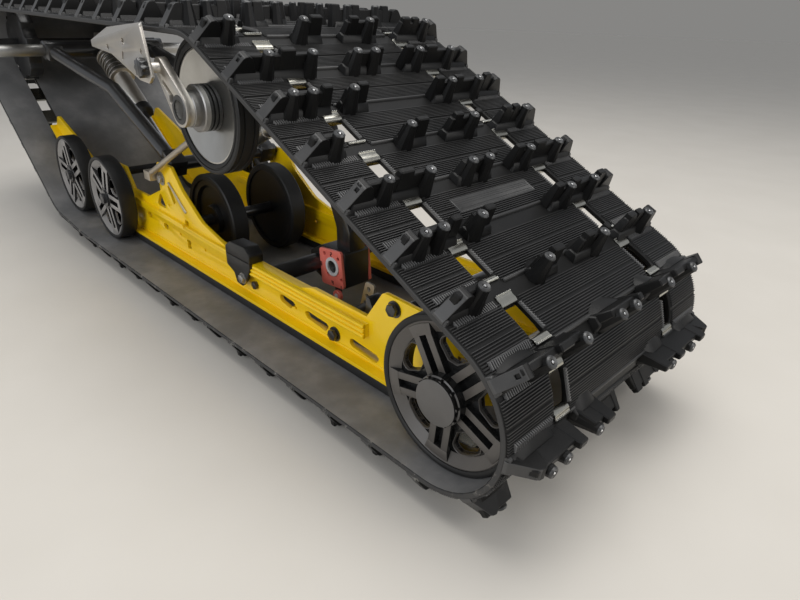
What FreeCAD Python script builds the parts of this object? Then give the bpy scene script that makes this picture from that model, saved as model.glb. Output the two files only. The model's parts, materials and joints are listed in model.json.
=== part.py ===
import FreeCAD, Part
import math
import os
from FreeCAD import Vector

# Track and rear suspension of a snowmobile, in millimetres.
# Sizes and places are given from the rear axle: +X to the rear, +Z up, Y across, the left side at -Y.
# At the end the whole unit is moved so that the lugs stand on Z = 0 under the middle of its length.

# Belt
PITCH = 72.6
BELT_WIDTH = 406.0
BELT_THICK = 6.4
LUG_HEIGHT = 31.8
BAR_AHEAD = 38.0
WINDOW_LENGTH = 40.0
WINDOW_WIDTH = 22.0
WINDOW_ACROSS = 117.0
LUG_ROOT = 3.0

# Wheels that the belt runs on
SEAT = 0.3
REAR_RADIUS = 86.0
UPPER_RADIUS = 84.0
BOGIE_RADIUS = 81.0
MID_RADIUS = 81.0
DRIVER_TEETH = 7

# Places along the loop
TOP_RISE = 27.5
UPPER_RUN = 477.0
GROUND_LENGTH = 950.0
DRAWN_LENGTH = 950.0
SLOPE_RUN = 393.0
LIFT_RADIUS = 600.0
FRONT_BOGIE_AHEAD = 143.0
FRONT_BOGIE_LIFT = 10.5
FRONT_RISE = 38.5
REAR_BOGIE_BACK = 900.0
MID_BACK = 647.0
FIT_STEPS = 60

# Wheel widths and places across, given to the wheel's outer face
REAR_WHEEL_FACE = 177.0
BOGIE_FACE = 167.0
UPPER_FACE = 176.0
MID_FACE = 75.0
TYRE_WIDTH = 30.0
TYRE_DEPTH = 13.0
RECESS = 3.0
HUB_RADIUS = 24.0
SPOKES = 5
SPOKE_WIDTH = 26.0
CAP_RADIUS = 27.0
CAP_PROUD = 13.0
SHAFT_RADIUS = 10.0
FIT = 0.3
UPPER_SHAFT_RADIUS = 15.0
UPPER_SHAFT_BORE = 12.0
CONE_DEPTH = 14.0
CONE_LIP = 3.0
COLLAR_RADIUS = 22.0
SPACER_RADIUS = 29.0
SPACER_FACE = 188.0
DRIVER_WIDTH = 28.0
DRIVER_TOOTH = 9.0
DRIVE_BAR_REACH = 16.0
DRIVE_SHAFT_REACH = 214.0
JOURNAL_RADIUS = 12.5
JOURNAL_LENGTH = 18.0

# Rails
RAIL_ACROSS = 117.0
RAIL_THICK = 6.0
SHOE_HEIGHT = 16.0
SHOE_WIDTH = 30.0
FLANGE_WIDTH = 34.0
FLANGE_THICK = 5.0
RAIL_REAR = -62.0
RAIL_NOSE_RUN = 196.0
NOSE_HEIGHT = 36.0
NOSE_CORNER = 14.0
RIB_WIDTH = 19.0
RIB_TOP = -8.0
RIB_HEIGHT = 18.0
RIB_REAR = -172.0
RIB_BEND = -560.0
RIB_FRONT = -868.0
RIB_FRONT_TOP = 2.0
RIB_FRONT_HEIGHT = 12.0
AXLE_SLOT = 30.0

# Tunnel brackets and links
BRACKET_ACROSS = 222.0
BRACKET_THICK = 4.0
BRACKET_FLANGE = 14.0
BRACKET_FLANGE_RISE = 17.0
BRACKET_FLANGE_LEAN = 18.0
BRACKET_FLANGE_TAPER = 0.15
BRACKET_HOLE_RADIUS = 3.3
LINK_ACROSS = 203.0
LINK_THICK = 10.0
LINK_RING = 21.0
LINK_EYE = 12.0
LINK_TOP = (-464.0, 268.0)
LINK_BOLT_RADIUS = 6.0
LINK_NUT_RADIUS = 12.0
LINK_NUT_HEIGHT = 10.0

# Front arm
ARM_TUBE_RADIUS = 13.0
ARM_TOP_ACROSS = 112.0
ARM_FOOT_ACROSS = 92.0
ARM_KNEE = (-930.0, 192.0)
ARM_KNEE_OUT = 8.0
ARM_EYE_WIDTH = 30.0
ARM_TOP_REACH = 28.0
ARM_FOOT_REACH = 20.0
FRONT_SHAFT = (-1226.0, 246.0)
FRONT_TUBE_RADIUS = 19.0
FRONT_SHAFT_RADIUS = 12.0
FRONT_SHAFT_REACH = 214.0
ARM_FOOT = (-722.0, 84.0)
ARM_FOOT_RADIUS = 12.0

# Shocks
SHOCK_PIN_RADIUS = 8.0
SHOCK_EYE_WIDTH = 28.0
SHOCK_FOOT = (-925.0, 35.0)
SHOCK_BODY_RADIUS = 19.0
SHOCK_ROD_RADIUS = 7.0
SHOCK_BODY_SHARE = 0.58
SHOCK_TOP_HALF = 25.0
SHOCK_SEAT_RADIUS = 28.0
SHOCK_SEAT_THICK = 5.0
SPRING_START = 32.0
SPRING_LENGTH = 62.0
SPRING_TURNS = 5
SPRING_SIDES = 12
SPRING_BORE = 22.0
SPRING_WIRE = 5.0

# Reservoir of the rear shock, from the rear arm's sleeve forward and down
RESERVOIR_REACH = 207.0
RESERVOIR_RADIUS = 13.0
RESERVOIR_ANGLE = 25.7

# Coupling and rear arm
TUBE_RADIUS = 14.0
COUPLER = (-357.0, -16.0)
COUPLER_TUBE = (-400.0, -22.0)
BLOCK_HALF = 26.0
BLOCK_WIDTH = 48.0
BLOCK_WALL = 5.0
PLATE_THICK = 5.0
PLATE_BORE = 11.0
REAR_ARM_RADIUS = 15.0
REAR_ARM_SLEEVE = 27.0
REAR_ARM_SLEEVE_WIDTH = 96.0
REAR_ARM_FOOT_AHEAD = 10.0
REAR_ARM_FOOT_RISE = 32.0
REAR_ARM_BEND = 20.0

# Stop blocks, tie rods, straps and rear fittings
STOP_CHEEK = 6.0
STOP_OVERLAP = 6.0
TIE_ROD_RADIUS = 5.0
TIE_ROD_ACROSS = 131.0
TIE_ROD_FOOT = (-750.0, 66.0)
TIE_BOSS = 16.0
TIE_ROD_SEAT = 30.0
REAR_CROSS = (-112.0, 26.0)
REAR_CROSS_RADIUS = 12.0


def unit(angle):
    """Unit vector in the XZ plane at an angle in degrees from +X towards +Z."""
    return Vector(math.cos(math.radians(angle)), 0, math.sin(math.radians(angle)))


def at(place, across=0.0):
    """Point from an (x, z) place and a distance across."""
    return Vector(place[0], across, place[1])


# Tables and places along the rails are drawn for one ground length and stretched to the named one
STRETCH = GROUND_LENGTH / DRAWN_LENGTH


def stretched(rows):
    """Rows (x, z, ...) moved along with the ground length."""
    return [(row[0] * STRETCH,) + tuple(row[1:]) for row in rows]


ARM_KNEE, FRONT_SHAFT, ARM_FOOT, SHOCK_FOOT, TIE_ROD_FOOT = stretched(
    [ARM_KNEE, FRONT_SHAFT, ARM_FOOT, SHOCK_FOOT, TIE_ROD_FOOT])


# The loop: circles that the belt's inner face wraps, in order from the rear wheel over the top

def tangent_angle(first, second):
    """Angle of the outward normal of the outer run from one circle to the next."""
    (x1, z1, r1), (x2, z2, r2) = first, second
    away = math.hypot(x2 - x1, z2 - z1)
    return math.degrees(math.atan2(z2 - z1, x2 - x1) - math.acos((r1 - r2) / away))


def loop_circles(slope_run):
    """Circles (x, z, radius) for a given length of the belt's front slope."""
    rear = REAR_RADIUS + SEAT
    upper = UPPER_RADIUS + SEAT
    bogie = BOGIE_RADIUS + SEAT
    driver = DRIVER_TEETH * PITCH / (2 * math.pi) - BELT_THICK / 2
    normal = unit(90 - TOP_RISE)
    ahead = unit(180 - TOP_RISE)
    top = normal * rear + ahead * UPPER_RUN - normal * upper
    bend = Vector(-GROUND_LENGTH - FRONT_BOGIE_AHEAD, 0, bogie - rear + FRONT_BOGIE_LIFT)
    down = unit(-FRONT_RISE)
    out = unit(-90 - FRONT_RISE)
    drive = bend + out * (bogie - driver) - down * slope_run
    return [
        (0.0, 0.0, rear),
        (top.x, top.z, upper),
        (drive.x, drive.z, driver),
        (bend.x, bend.z, bogie),
        (-GROUND_LENGTH, LIFT_RADIUS - rear, LIFT_RADIUS),
    ]


def loop_parts(circles):
    """Arc and run after each circle: (x, z, radius, angle in, angle out, run length)."""
    count = len(circles)
    outs = [tangent_angle(circles[i], circles[(i + 1) % count]) for i in range(count)]
    parts = []
    for i, (x, z, r) in enumerate(circles):
        start = outs[i - 1]
        turn = (outs[i] - start) % 360
        nx, nz, nr = circles[(i + 1) % count]
        run = math.sqrt((nx - x) ** 2 + (nz - z) ** 2 - (nr - r) ** 2)
        parts.append((x, z, r, start, start + turn, run))
    return parts


def loop_length(circles):
    """Length of the belt's middle line."""
    total = 0.0
    for x, z, r, a0, a1, run in loop_parts(circles):
        total += math.radians(a1 - a0) * (r + BELT_THICK / 2) + run
    return total


BARS = round(loop_length(loop_circles(SLOPE_RUN)) / PITCH)


def fitted_circles():
    """Circles whose loop is as long as the belt: the drive axle is moved along the front slope."""
    low, high = 0.0, 2 * SLOPE_RUN
    for step in range(FIT_STEPS):
        middle = (low + high) / 2
        if loop_length(loop_circles(middle)) < PITCH * BARS:
            low = middle
        else:
            high = middle
    return loop_circles(low)


CIRCLES = fitted_circles()
LOOP = loop_parts(CIRCLES)
REAR, UPPER, DRIVE, FRONT_BOGIE, LIFT = [(c[0], c[1]) for c in CIRCLES]
GROUND = -(REAR_RADIUS + SEAT)
RIB_INSIDE = RAIL_ACROSS - RIB_WIDTH / 2
WEB_INSIDE = RAIL_ACROSS - RAIL_THICK / 2
REAR_BOGIE = (-REAR_BOGIE_BACK * STRETCH, GROUND + SEAT + BOGIE_RADIUS)
MID = (-MID_BACK * STRETCH, GROUND + SEAT + MID_RADIUS)
DRIVER_RADIUS = CIRCLES[2][2] - SEAT


def loop_wire(offset):
    """Closed wire of the loop, offset outwards from the belt's inner face, in the plane Y = 0."""
    edges = []
    count = len(LOOP)
    for i, (x, z, r, a0, a1, run) in enumerate(LOOP):
        centre = Vector(x, 0, z)
        radius = r + offset
        edges.append(Part.Arc(centre + unit(a0) * radius, centre + unit((a0 + a1) / 2) * radius,
                              centre + unit(a1) * radius).toShape())
        nx, nz, nr = CIRCLES[(i + 1) % count]
        edges.append(Part.LineSegment(centre + unit(a1) * radius,
                                      Vector(nx, 0, nz) + unit(a1) * (nr + offset)).toShape())
    return Part.Wire(edges)


def station(along):
    """Point on the belt's inner face and its outward angle, at a distance along the middle line.

    The distance starts where the top run leaves the rear wheel and goes forward.
    """
    order = [(LOOP[0], True)] + [(p, False) for p in LOOP[1:]] + [(LOOP[0], False)]
    left = along % (PITCH * BARS)
    for (x, z, r, a0, a1, run), run_only in order:
        arc = math.radians(a1 - a0) * (r + BELT_THICK / 2)
        if not run_only:
            if left <= arc:
                angle = a0 + math.degrees(left / (r + BELT_THICK / 2))
                return Vector(x, 0, z) + unit(angle) * r, angle
            left -= arc
        if left <= run:
            return Vector(x, 0, z) + unit(a1) * r + unit(a1 + 90) * left, a1
        left -= run
    return Vector(0, 0, 0) + unit(LOOP[0][4]) * LOOP[0][2], LOOP[0][4]


def on_belt(shape, along, across=0.0):
    """Copy of a shape modelled on a flat belt (X rearward, Z outward from the inner face)."""
    point, angle = station(along)
    copy = shape.copy()
    place = FreeCAD.Placement(point + Vector(0, across, 0), FreeCAD.Rotation(Vector(0, 1, 0), 90 - angle))
    copy.Placement = place.multiply(copy.Placement)
    return copy


# Basic forms

def rod(start, end, radius):
    """Round bar between two points."""
    axis = end - start
    return Part.makeCylinder(radius, axis.Length, start, axis)


def tube(start, end, radius, bore):
    """Round tube between two points."""
    return rod(start, end, radius).cut(rod(start, end, bore))


def across_rod(place, y0, y1, radius):
    """Round bar across the unit at an (x, z) place."""
    return rod(at(place, y0), at(place, y1), radius)


def ring(place, y0, y1, radius, bore):
    """Round ring across the unit at an (x, z) place."""
    return across_rod(place, y0, y1, radius).cut(across_rod(place, y0, y1, bore))


def box(x0, x1, y0, y1, z0, z1):
    """Box between two corners."""
    return Part.makeBox(x1 - x0, y1 - y0, z1 - z0, Vector(x0, y0, z0))


def corner_arc(before_point, corner, after_point, radius):
    """Start, middle and end of the arc that rounds a corner."""
    before = before_point - corner
    after = after_point - corner
    half = before.getAngle(after) / 2
    cut = min(radius / math.tan(half), before.Length * 0.49, after.Length * 0.49)
    bend = cut * math.tan(half)
    before.normalize()
    after.normalize()
    middle = before + after
    middle.normalize()
    centre = corner + middle * (cut / math.cos(half))
    return corner + before * cut, centre - middle * bend, corner + after * cut


def line(start, end):
    """Straight edge between two points."""
    return Part.LineSegment(start, end).toShape()


def rounded_path(points):
    """Edges along corner rows (x, z, corner radius), with the inner corners rounded."""
    places = [Vector(x, 0, z) for x, z, radius in points]
    edges = []
    start = places[0]
    for i in range(1, len(points) - 1):
        if points[i][2] > 0:
            first, middle, last = corner_arc(places[i - 1], places[i], places[i + 1], points[i][2])
            edges.append(line(start, first))
            edges.append(Part.Arc(first, middle, last).toShape())
            start = last
        else:
            edges.append(line(start, places[i]))
            start = places[i]
    edges.append(line(start, places[-1]))
    return edges


def rounded_face(points):
    """Face in the XZ plane from corner rows (x, z, corner radius)."""
    x0, z0, r0 = points[0]
    x1, z1, r1 = points[1]
    middle = ((x0 + x1) / 2, (z0 + z1) / 2, 0)
    return Part.Face(Part.Wire(rounded_path([middle] + points[1:] + points[:1] + [middle])))


def plate(points, y0, y1):
    """Plate of an XZ outline between two distances across."""
    face = rounded_face(points)
    face.translate(Vector(0, y0, 0))
    return face.extrude(Vector(0, y1 - y0, 0))


def mitred_tube(start, knee, end, radius):
    """Two straight round tubes that meet in a mitre."""
    first = (start - knee).normalize()
    second = (end - knee).normalize()
    across = (first - second).normalize()
    pieces = []
    for far, along, side in ((start, first, across), (end, second, across * -1)):
        whole = rod(far, knee - along * radius, radius)
        reach = (far - knee).Length
        keep = Part.makeBox(2 * reach, 2 * reach, 2 * reach)
        keep.translate(Vector(-reach, -reach, 0))
        mitre = FreeCAD.Placement(knee, FreeCAD.Rotation(Vector(0, 0, 1), side))
        keep.Placement = mitre.multiply(keep.Placement)
        pieces.append(whole.common(keep))
    return joined(pieces)


def mirrored(shape):
    """The same piece on the other side."""
    return shape.mirror(Vector(0, 0, 0), Vector(0, 1, 0))


def joined(shapes):
    """Solids fused into one."""
    first, rest = shapes[0], shapes[1:]
    return first.multiFuse(rest).removeSplitter()


# The track

# Lug rows repeat every three bars. Columns: distance across, root width, tip width.
LUG_ROWS = [
    [(-172, 52, 30), (-46, 44, 36), (40, 64, 46), (152, 88, 56)],
    [(-155, 84, 62), (-78, 40, 30), (126, 142, 108)],
    [(-142, 116, 78), (-10, 64, 44), (130, 132, 96)],
]
LUG_FOOT = 22.0
LUG_TIP = 11.0


def lug(root_width, tip_width):
    """Tapered lug that stands on the belt, with its foot sunk in it."""
    block = Part.makeWedge(-LUG_FOOT / 2, 0, -root_width / 2, -tip_width / 2, -LUG_TIP / 2,
                           LUG_FOOT / 2, LUG_HEIGHT + LUG_ROOT, root_width / 2, tip_width / 2, LUG_TIP / 2)
    block.Placement = FreeCAD.Placement(Vector(0, 0, BELT_THICK - LUG_ROOT),
                                        FreeCAD.Rotation(Vector(1, 0, 0), 90))
    return block


def make_track():
    """Belt loop with its windows and its rows of lugs."""
    section = Part.Face(loop_wire(BELT_THICK)).cut(Part.Face(loop_wire(0.0))).Faces[0]
    section.translate(Vector(0, -BELT_WIDTH / 2, 0))
    belt = section.extrude(Vector(0, BELT_WIDTH, 0))
    window = box(-WINDOW_LENGTH / 2, WINDOW_LENGTH / 2, -WINDOW_WIDTH / 2, WINDOW_WIDTH / 2,
                 -BELT_THICK, 2 * BELT_THICK)
    windows = []
    lugs = []
    for bar in range(BARS):
        along = BAR_AHEAD + bar * PITCH
        for side in (-1, 1):
            windows.append(on_belt(window, along + PITCH / 2, side * WINDOW_ACROSS))
        for across, root_width, tip_width in LUG_ROWS[bar % len(LUG_ROWS)]:
            lugs.append(on_belt(lug(root_width, tip_width), along, across))
    belt = belt.cut(Part.makeCompound(windows))
    return belt.fuse(lugs)


# Rails and slide shoes

def underside(offset, rear_end, slope_run):
    """Edges along the loop's underside from the rear end to the nose, offset inwards."""
    x, z, r, a0, a1, run = LOOP[4]
    bx, bz, br, b0, b1, brun = LOOP[3]
    lift = Vector(x, 0, z)
    bend = Vector(bx, 0, bz)
    nose = bend + unit(b0) * (br - offset)
    edges = [
        Part.LineSegment(Vector(rear_end, 0, GROUND + offset), lift + unit(a1) * (r - offset)).toShape(),
        Part.Arc(lift + unit(a1) * (r - offset), lift + unit((a0 + a1) / 2) * (r - offset),
                 lift + unit(a0) * (r - offset)).toShape(),
        Part.LineSegment(lift + unit(a0) * (r - offset), bend + unit(b1) * (br - offset)).toShape(),
        Part.Arc(bend + unit(b1) * (br - offset), bend + unit((b0 + b1) / 2) * (br - offset), nose).toShape(),
        Part.LineSegment(nose, nose + unit(b0 - 90) * slope_run).toShape(),
    ]
    return edges


def under_strip(offset0, offset1, rear_end, slope_run, width):
    """Strip along the underside between two inward offsets."""
    low = underside(offset0, rear_end, slope_run)
    high = underside(offset1, rear_end, slope_run)
    ends = [
        Part.LineSegment(low[0].firstVertex().Point, high[0].firstVertex().Point).toShape(),
        Part.LineSegment(low[-1].lastVertex().Point, high[-1].lastVertex().Point).toShape(),
    ]
    wire = Part.Wire(Part.__sortEdges__(low + high + ends))
    face = Part.Face(wire)
    face.translate(Vector(0, -width / 2, 0))
    return face.extrude(Vector(0, width, 0))


# Upper edge of the rail from its rear end to its nose. Columns: x, z, corner radius.
RAIL_TOP = [
    (34, -20, 0),
    (34, 22, 14),
    (-30, 40, 0),
    (-147, 43, 8),
    (-176, 0, 0),
    (-285, 0, 0),
    (-312, RIB_TOP, 0),
    (-510, RIB_TOP, 0),
    (-591, 13, 60),
    (-652, 56, 40),
    (-682, 90, 8),
    (-738, 90, 8),
    (-738, 38, 0),
    (-800, 13, 0),
    (-866, 13, 0),
    (-893, 52, 0),
    (-957, 52, 0),
    (-984, 26, 0),
    (-1060, 26, 0),
    (-1160, 67, 0),
]
# Slots in the rail's lower band. Columns: x0, z0, x1, z1, half height.
RAIL_SLOTS = [
    (-362, -41, -334, -43, 4.5),
    (-301, -45, -258, -47, 4.5),
    (-202, -48, -158, -52, 4.5),
]
# Cut-outs with straight sides. Columns: corners (x, z, corner radius).
RAIL_CUTS = [
    [(-741, 30, 0), (-729, 8, 0), (-758, 8, 0)],
    [(-706, 52, 0), (-697, 55, 0), (-680, 28, 0), (-689, 22, 0)],
    [(-657, -42, 0), (-646, -36, 0), (-642, -48, 0), (-656, -51, 0)],
    [(-652, 4, 0), (-641, 2, 0), (-642, -6, 0), (-654, -6, 0)],
]


def slot_cut(x0, z0, x1, z1, half):
    """Cutter for a slot with bevelled ends."""
    start = Vector(x0, 0, z0)
    end = Vector(x1, 0, z1)
    along = (end - start).normalize() * half
    side = Vector(-along.z, 0, along.x)
    corners = []
    for place, out in ((start, along * -1), (end, along)):
        turn = side if place is start else side * -1
        corners += [place - turn, place - turn * 0.4 + out, place + turn * 0.4 + out, place + turn]
    return plate([(p.x, p.z, 0) for p in corners], -RIB_WIDTH, RIB_WIDTH)


def make_rail():
    """Left rail: web with a lower flange, a rib along it and the tower, with its cut-outs."""
    low = underside(SHOE_HEIGHT, RAIL_REAR, RAIL_NOSE_RUN)
    first = low[0].firstVertex().Point
    last = low[-1].lastVertex().Point
    flange = under_strip(SHOE_HEIGHT, SHOE_HEIGHT + FLANGE_THICK, RAIL_REAR, RAIL_NOSE_RUN, FLANGE_WIDTH)
    nose = last + unit(LOOP[3][3] + 180) * NOSE_HEIGHT
    nose_rows = [(nose.x, nose.z, NOSE_CORNER), (last.x, last.z, 0)]
    top = rounded_path([(first.x, first.z, 0)] + stretched(RAIL_TOP) + nose_rows)
    web = Part.Face(Part.Wire(Part.__sortEdges__(low + top)))
    web.translate(Vector(0, -RAIL_THICK / 2, 0))
    web = web.extrude(Vector(0, RAIL_THICK, 0))
    rib_points = [
        (RIB_REAR, RIB_TOP, 0),
        (RIB_REAR, RIB_TOP - RIB_HEIGHT, 0),
        (RIB_BEND, RIB_TOP - RIB_HEIGHT, 0),
        (RIB_FRONT, RIB_FRONT_TOP - RIB_FRONT_HEIGHT, 0),
        (RIB_FRONT, RIB_FRONT_TOP, 0),
        (RIB_BEND, RIB_TOP, 0),
    ]
    rib = plate(stretched(rib_points), -RIB_WIDTH / 2, RIB_WIDTH / 2)
    rail = joined([web, flange, rib])
    cuts = [slot_cut(x0 * STRETCH, z0, x1 * STRETCH, z1, half) for x0, z0, x1, z1, half in RAIL_SLOTS]
    cuts += [plate(stretched(rows), -RIB_WIDTH, RIB_WIDTH) for rows in RAIL_CUTS]
    half = SHAFT_RADIUS + FIT
    cuts += [plate([(REAR[0] - AXLE_SLOT, REAR[1] - half, 0), (REAR[0] + half, REAR[1] - half, 0),
                    (REAR[0] + half, REAR[1] + half, 0), (REAR[0] - AXLE_SLOT, REAR[1] + half, 0)],
                   -RIB_WIDTH, RIB_WIDTH)]
    rail = rail.cut(cuts)
    rail.translate(Vector(0, -RAIL_ACROSS, 0))
    return rail


def make_shoe():
    """Left slide shoe, clipped under the rail."""
    shoe = under_strip(SEAT, SHOE_HEIGHT, RAIL_REAR - 10.0, RAIL_NOSE_RUN - 14.0, SHOE_WIDTH)
    shoe.translate(Vector(0, -RAIL_ACROSS, 0))
    return shoe


# Wheels

def turned(profile, place, face):
    """Solid turned about the Y axis from (radius, distance inwards) rows, for the left side."""
    points = [Vector(r, y, 0) for r, y in profile]
    solid = Part.Face(Part.makePolygon(points + points[:1])).revolve(Vector(0, 0, 0), Vector(0, 1, 0), 360)
    solid.translate(at(place, -face))
    return solid


def spoke_window(turn, inner, outer):
    """Cutter for one opening between two spokes, at an angle in degrees."""
    half = SPOKE_WIDTH / 2
    gap = math.pi / SPOKES
    corners = []
    for radius, side in ((outer, -1), (outer, 1), (inner, 1), (inner, -1)):
        angle = side * (gap - math.asin(min(half / radius, 0.9 * math.sin(gap))))
        point = unit(turn + math.degrees(angle)) * radius
        corners.append((point.x, point.z, 0))
    return plate(corners, -TYRE_WIDTH, 2 * TYRE_WIDTH)


def spoked_wheel(place, radius, face):
    """Left wheel with a tyre that stands out round a disc with openings between five spokes."""
    rim = radius - TYRE_DEPTH
    bore = SHAFT_RADIUS + FIT
    profile = [(bore, RECESS), (rim, RECESS), (rim, 0), (radius, 0), (radius, TYRE_WIDTH), (bore, TYRE_WIDTH)]
    wheel = turned(profile, (0, 0), 0)
    turns = [90 + 360 / SPOKES * (i + 0.5) for i in range(SPOKES)]
    wheel = wheel.cut([spoke_window(turn, HUB_RADIUS + 9, rim - 3) for turn in turns])
    wheel.translate(at(place, -face))
    return wheel


def plain_wheel(place, radius, face):
    """Left wheel with a flat disc and no openings."""
    return ring(place, -face, -face + TYRE_WIDTH, radius, SHAFT_RADIUS + FIT)


def cone_wheel(place, radius, face):
    """Left upper wheel: a tyre round a smooth cone that sinks towards the shaft."""
    rim = radius - TYRE_DEPTH
    bore = UPPER_SHAFT_RADIUS + FIT
    profile = [(bore, CONE_DEPTH), (rim, CONE_LIP), (rim, 0), (radius, 0), (radius, TYRE_WIDTH),
               (bore, TYRE_WIDTH)]
    return turned(profile, place, face)


def cap(place, face):
    """Round centre cap on a left wheel's outer face."""
    return across_rod(place, -face - CAP_PROUD, -face + RECESS, CAP_RADIUS)


# Brackets and links

# Side of the left tunnel bracket. Columns: x, z, corner radius.
BRACKET_OUTLINE = [
    (-634, 284, 0),
    (-634, 292, 0),
    (-464, 316, 0),
    (-450, 258, 0),
    (-460, 250, 0),
    (-486, 252, 0),
    (-566, 278, 0),
]
# Centres of the two holes that bolt the bracket to the tunnel
BRACKET_HOLES = [(-576, 286), (-470, 286)]


def make_bracket():
    """Left tunnel bracket: a folded sheet with its bolt holes. Its flange leans in and up, and tapers."""
    y0 = -BRACKET_ACROSS - BRACKET_THICK / 2
    y1 = -BRACKET_ACROSS + BRACKET_THICK / 2
    side = plate(BRACKET_OUTLINE, y0, y1)
    low = at(BRACKET_OUTLINE[1], y0)
    high = at(BRACKET_OUTLINE[2], y0)
    lean = Vector(BRACKET_FLANGE_LEAN, BRACKET_THICK + BRACKET_FLANGE, BRACKET_FLANGE_RISE)
    corners = [low, high, high + lean * BRACKET_FLANGE_TAPER, low + lean]
    flange = Part.Face(Part.makePolygon(corners + corners[:1])).extrude(Vector(0, 0, -BRACKET_THICK))
    holes = [across_rod(place, y0 - 5, y1 + 5, BRACKET_HOLE_RADIUS) for place in BRACKET_HOLES]
    bolt = across_rod(LINK_TOP, y0 - 5, y1 + 5, LINK_BOLT_RADIUS + FIT)
    return joined([side, flange]).cut(holes + [bolt])


def make_link():
    """Left link: an arm from the upper wheel shaft, with a pin through the tunnel bracket."""
    y0 = -LINK_ACROSS - LINK_THICK / 2
    y1 = -LINK_ACROSS + LINK_THICK / 2
    low = at(UPPER)
    high = at(LINK_TOP)
    along = (high - low).normalize()
    side = Vector(along.z, 0, -along.x)
    tip = high + along * LINK_EYE
    ends = [low + side * LINK_RING, low - side * LINK_RING, high - side * LINK_EYE, high + side * LINK_EYE]
    outline = Part.Wire([
        Part.Arc(ends[0], low - along * LINK_RING, ends[1]).toShape(),
        line(ends[1], ends[2]),
        Part.Arc(ends[2], tip, ends[3]).toShape(),
        line(ends[3], ends[0]),
    ])
    face = Part.Face(outline)
    face.translate(Vector(0, y0, 0))
    body = face.extrude(Vector(0, LINK_THICK, 0))
    pin = across_rod(LINK_TOP, -BRACKET_ACROSS - BRACKET_THICK / 2, y0 + 1, LINK_BOLT_RADIUS)
    return joined([body, pin]).cut(across_rod(UPPER, y0 - 1, y1 + 1, UPPER_SHAFT_RADIUS + FIT))


def make_nut():
    """Left nut on the link's pin: six sides."""
    y1 = -BRACKET_ACROSS - BRACKET_THICK / 2
    corners = [at(LINK_TOP) + unit(60 * i) * LINK_NUT_RADIUS for i in range(6)]
    return plate([(p.x, p.z, 0) for p in corners], y1 - LINK_NUT_HEIGHT, y1)


# Arms and shocks

def block_towards(place, towards, half, width, reach):
    """Square end block round a place, with a flat seat at a reach towards another place."""
    centre = at(place)
    along = (at(towards) - centre).normalize()
    side = Vector(-along.z, 0, along.x) * half
    corners = [centre + along * reach + side, centre + along * reach - side,
               centre - along * half - side, centre - along * half + side]
    return plate([(p.x, p.z, 0) for p in corners], -width / 2, width / 2)


SHOCK_LOW = at(SHOCK_FOOT)
SHOCK_HIGH = at(FRONT_SHAFT)
SHOCK_AXIS = (SHOCK_HIGH - SHOCK_LOW).normalize()
SPRING_TOP = SHOCK_HIGH - SHOCK_AXIS * SPRING_START
SPRING_FOOT = SPRING_TOP - SHOCK_AXIS * SPRING_LENGTH


def make_shock():
    """Shock body with its spring seats, and piston rod, from the arm's cross tube to the shock's shaft."""
    split = SHOCK_LOW + SHOCK_AXIS * (SHOCK_HIGH - SHOCK_LOW).Length * (1 - SHOCK_BODY_SHARE)
    half = SHOCK_PIN_RADIUS * 1.8
    reach = SHOCK_PIN_RADIUS * 2
    top_block = block_towards(FRONT_SHAFT, SHOCK_FOOT, SHOCK_TOP_HALF, SHOCK_EYE_WIDTH, SHOCK_TOP_HALF)
    foot_block = block_towards(SHOCK_FOOT, FRONT_SHAFT, half, SHOCK_EYE_WIDTH, reach)
    body = joined([rod(split, SHOCK_HIGH - SHOCK_AXIS * SHOCK_TOP_HALF, SHOCK_BODY_RADIUS), top_block,
                   rod(SPRING_TOP, SPRING_TOP + SHOCK_AXIS * SHOCK_SEAT_THICK, SHOCK_SEAT_RADIUS),
                   rod(SPRING_FOOT, SPRING_FOOT - SHOCK_AXIS * SHOCK_SEAT_THICK, SHOCK_SEAT_RADIUS)])
    piston = joined([rod(SHOCK_LOW + SHOCK_AXIS * reach, split, SHOCK_ROD_RADIUS), foot_block])
    body = body.cut(across_rod(FRONT_SHAFT, -SHOCK_EYE_WIDTH, SHOCK_EYE_WIDTH, FRONT_TUBE_RADIUS + FIT))
    return body, piston.cut(across_rod(SHOCK_FOOT, -SHOCK_EYE_WIDTH, SHOCK_EYE_WIDTH, SHOCK_PIN_RADIUS + FIT))


def make_spring():
    """Coil spring of square wire round the shock's body, with straight sides, between its two seats."""
    count = SPRING_TURNS * SPRING_SIDES
    rise = (SPRING_LENGTH - SPRING_WIRE) / count
    bar = []
    for i in range(count + 1):
        angle = math.radians(360 / SPRING_SIDES * i)
        out = Vector(math.cos(angle), math.sin(angle), 0)
        height = Vector(0, 0, rise * i)
        wire = Vector(0, 0, SPRING_WIRE)
        near = out * SPRING_BORE + height
        far = out * (SPRING_BORE + SPRING_WIRE) + height
        bar.append([near, far, far + wire, near + wire])
    faces = [Part.Face(Part.makePolygon(end + end[:1])) for end in (bar[0], bar[-1])]
    for first, second in zip(bar, bar[1:]):
        for i in range(4):
            a, b, c, d = first[i], first[(i + 1) % 4], second[(i + 1) % 4], second[i]
            faces.append(Part.Face(Part.makePolygon([a, b, c, a])))
            faces.append(Part.Face(Part.makePolygon([a, c, d, a])))
    spring = Part.Solid(Part.Shell(faces))
    spring.Placement = FreeCAD.Placement(SPRING_FOOT, FreeCAD.Rotation(Vector(0, 0, 1), SHOCK_AXIS))
    return spring


def make_reservoir():
    """Reservoir of the rear shock, seated against the rear arm's sleeve."""
    sleeve = at(UPPER)
    body = rod(sleeve, sleeve - unit(RESERVOIR_ANGLE) * RESERVOIR_REACH, RESERVOIR_RADIUS)
    wide = REAR_ARM_SLEEVE_WIDTH / 2
    return body.cut(across_rod(UPPER, -wide, wide, REAR_ARM_SLEEVE))


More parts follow.
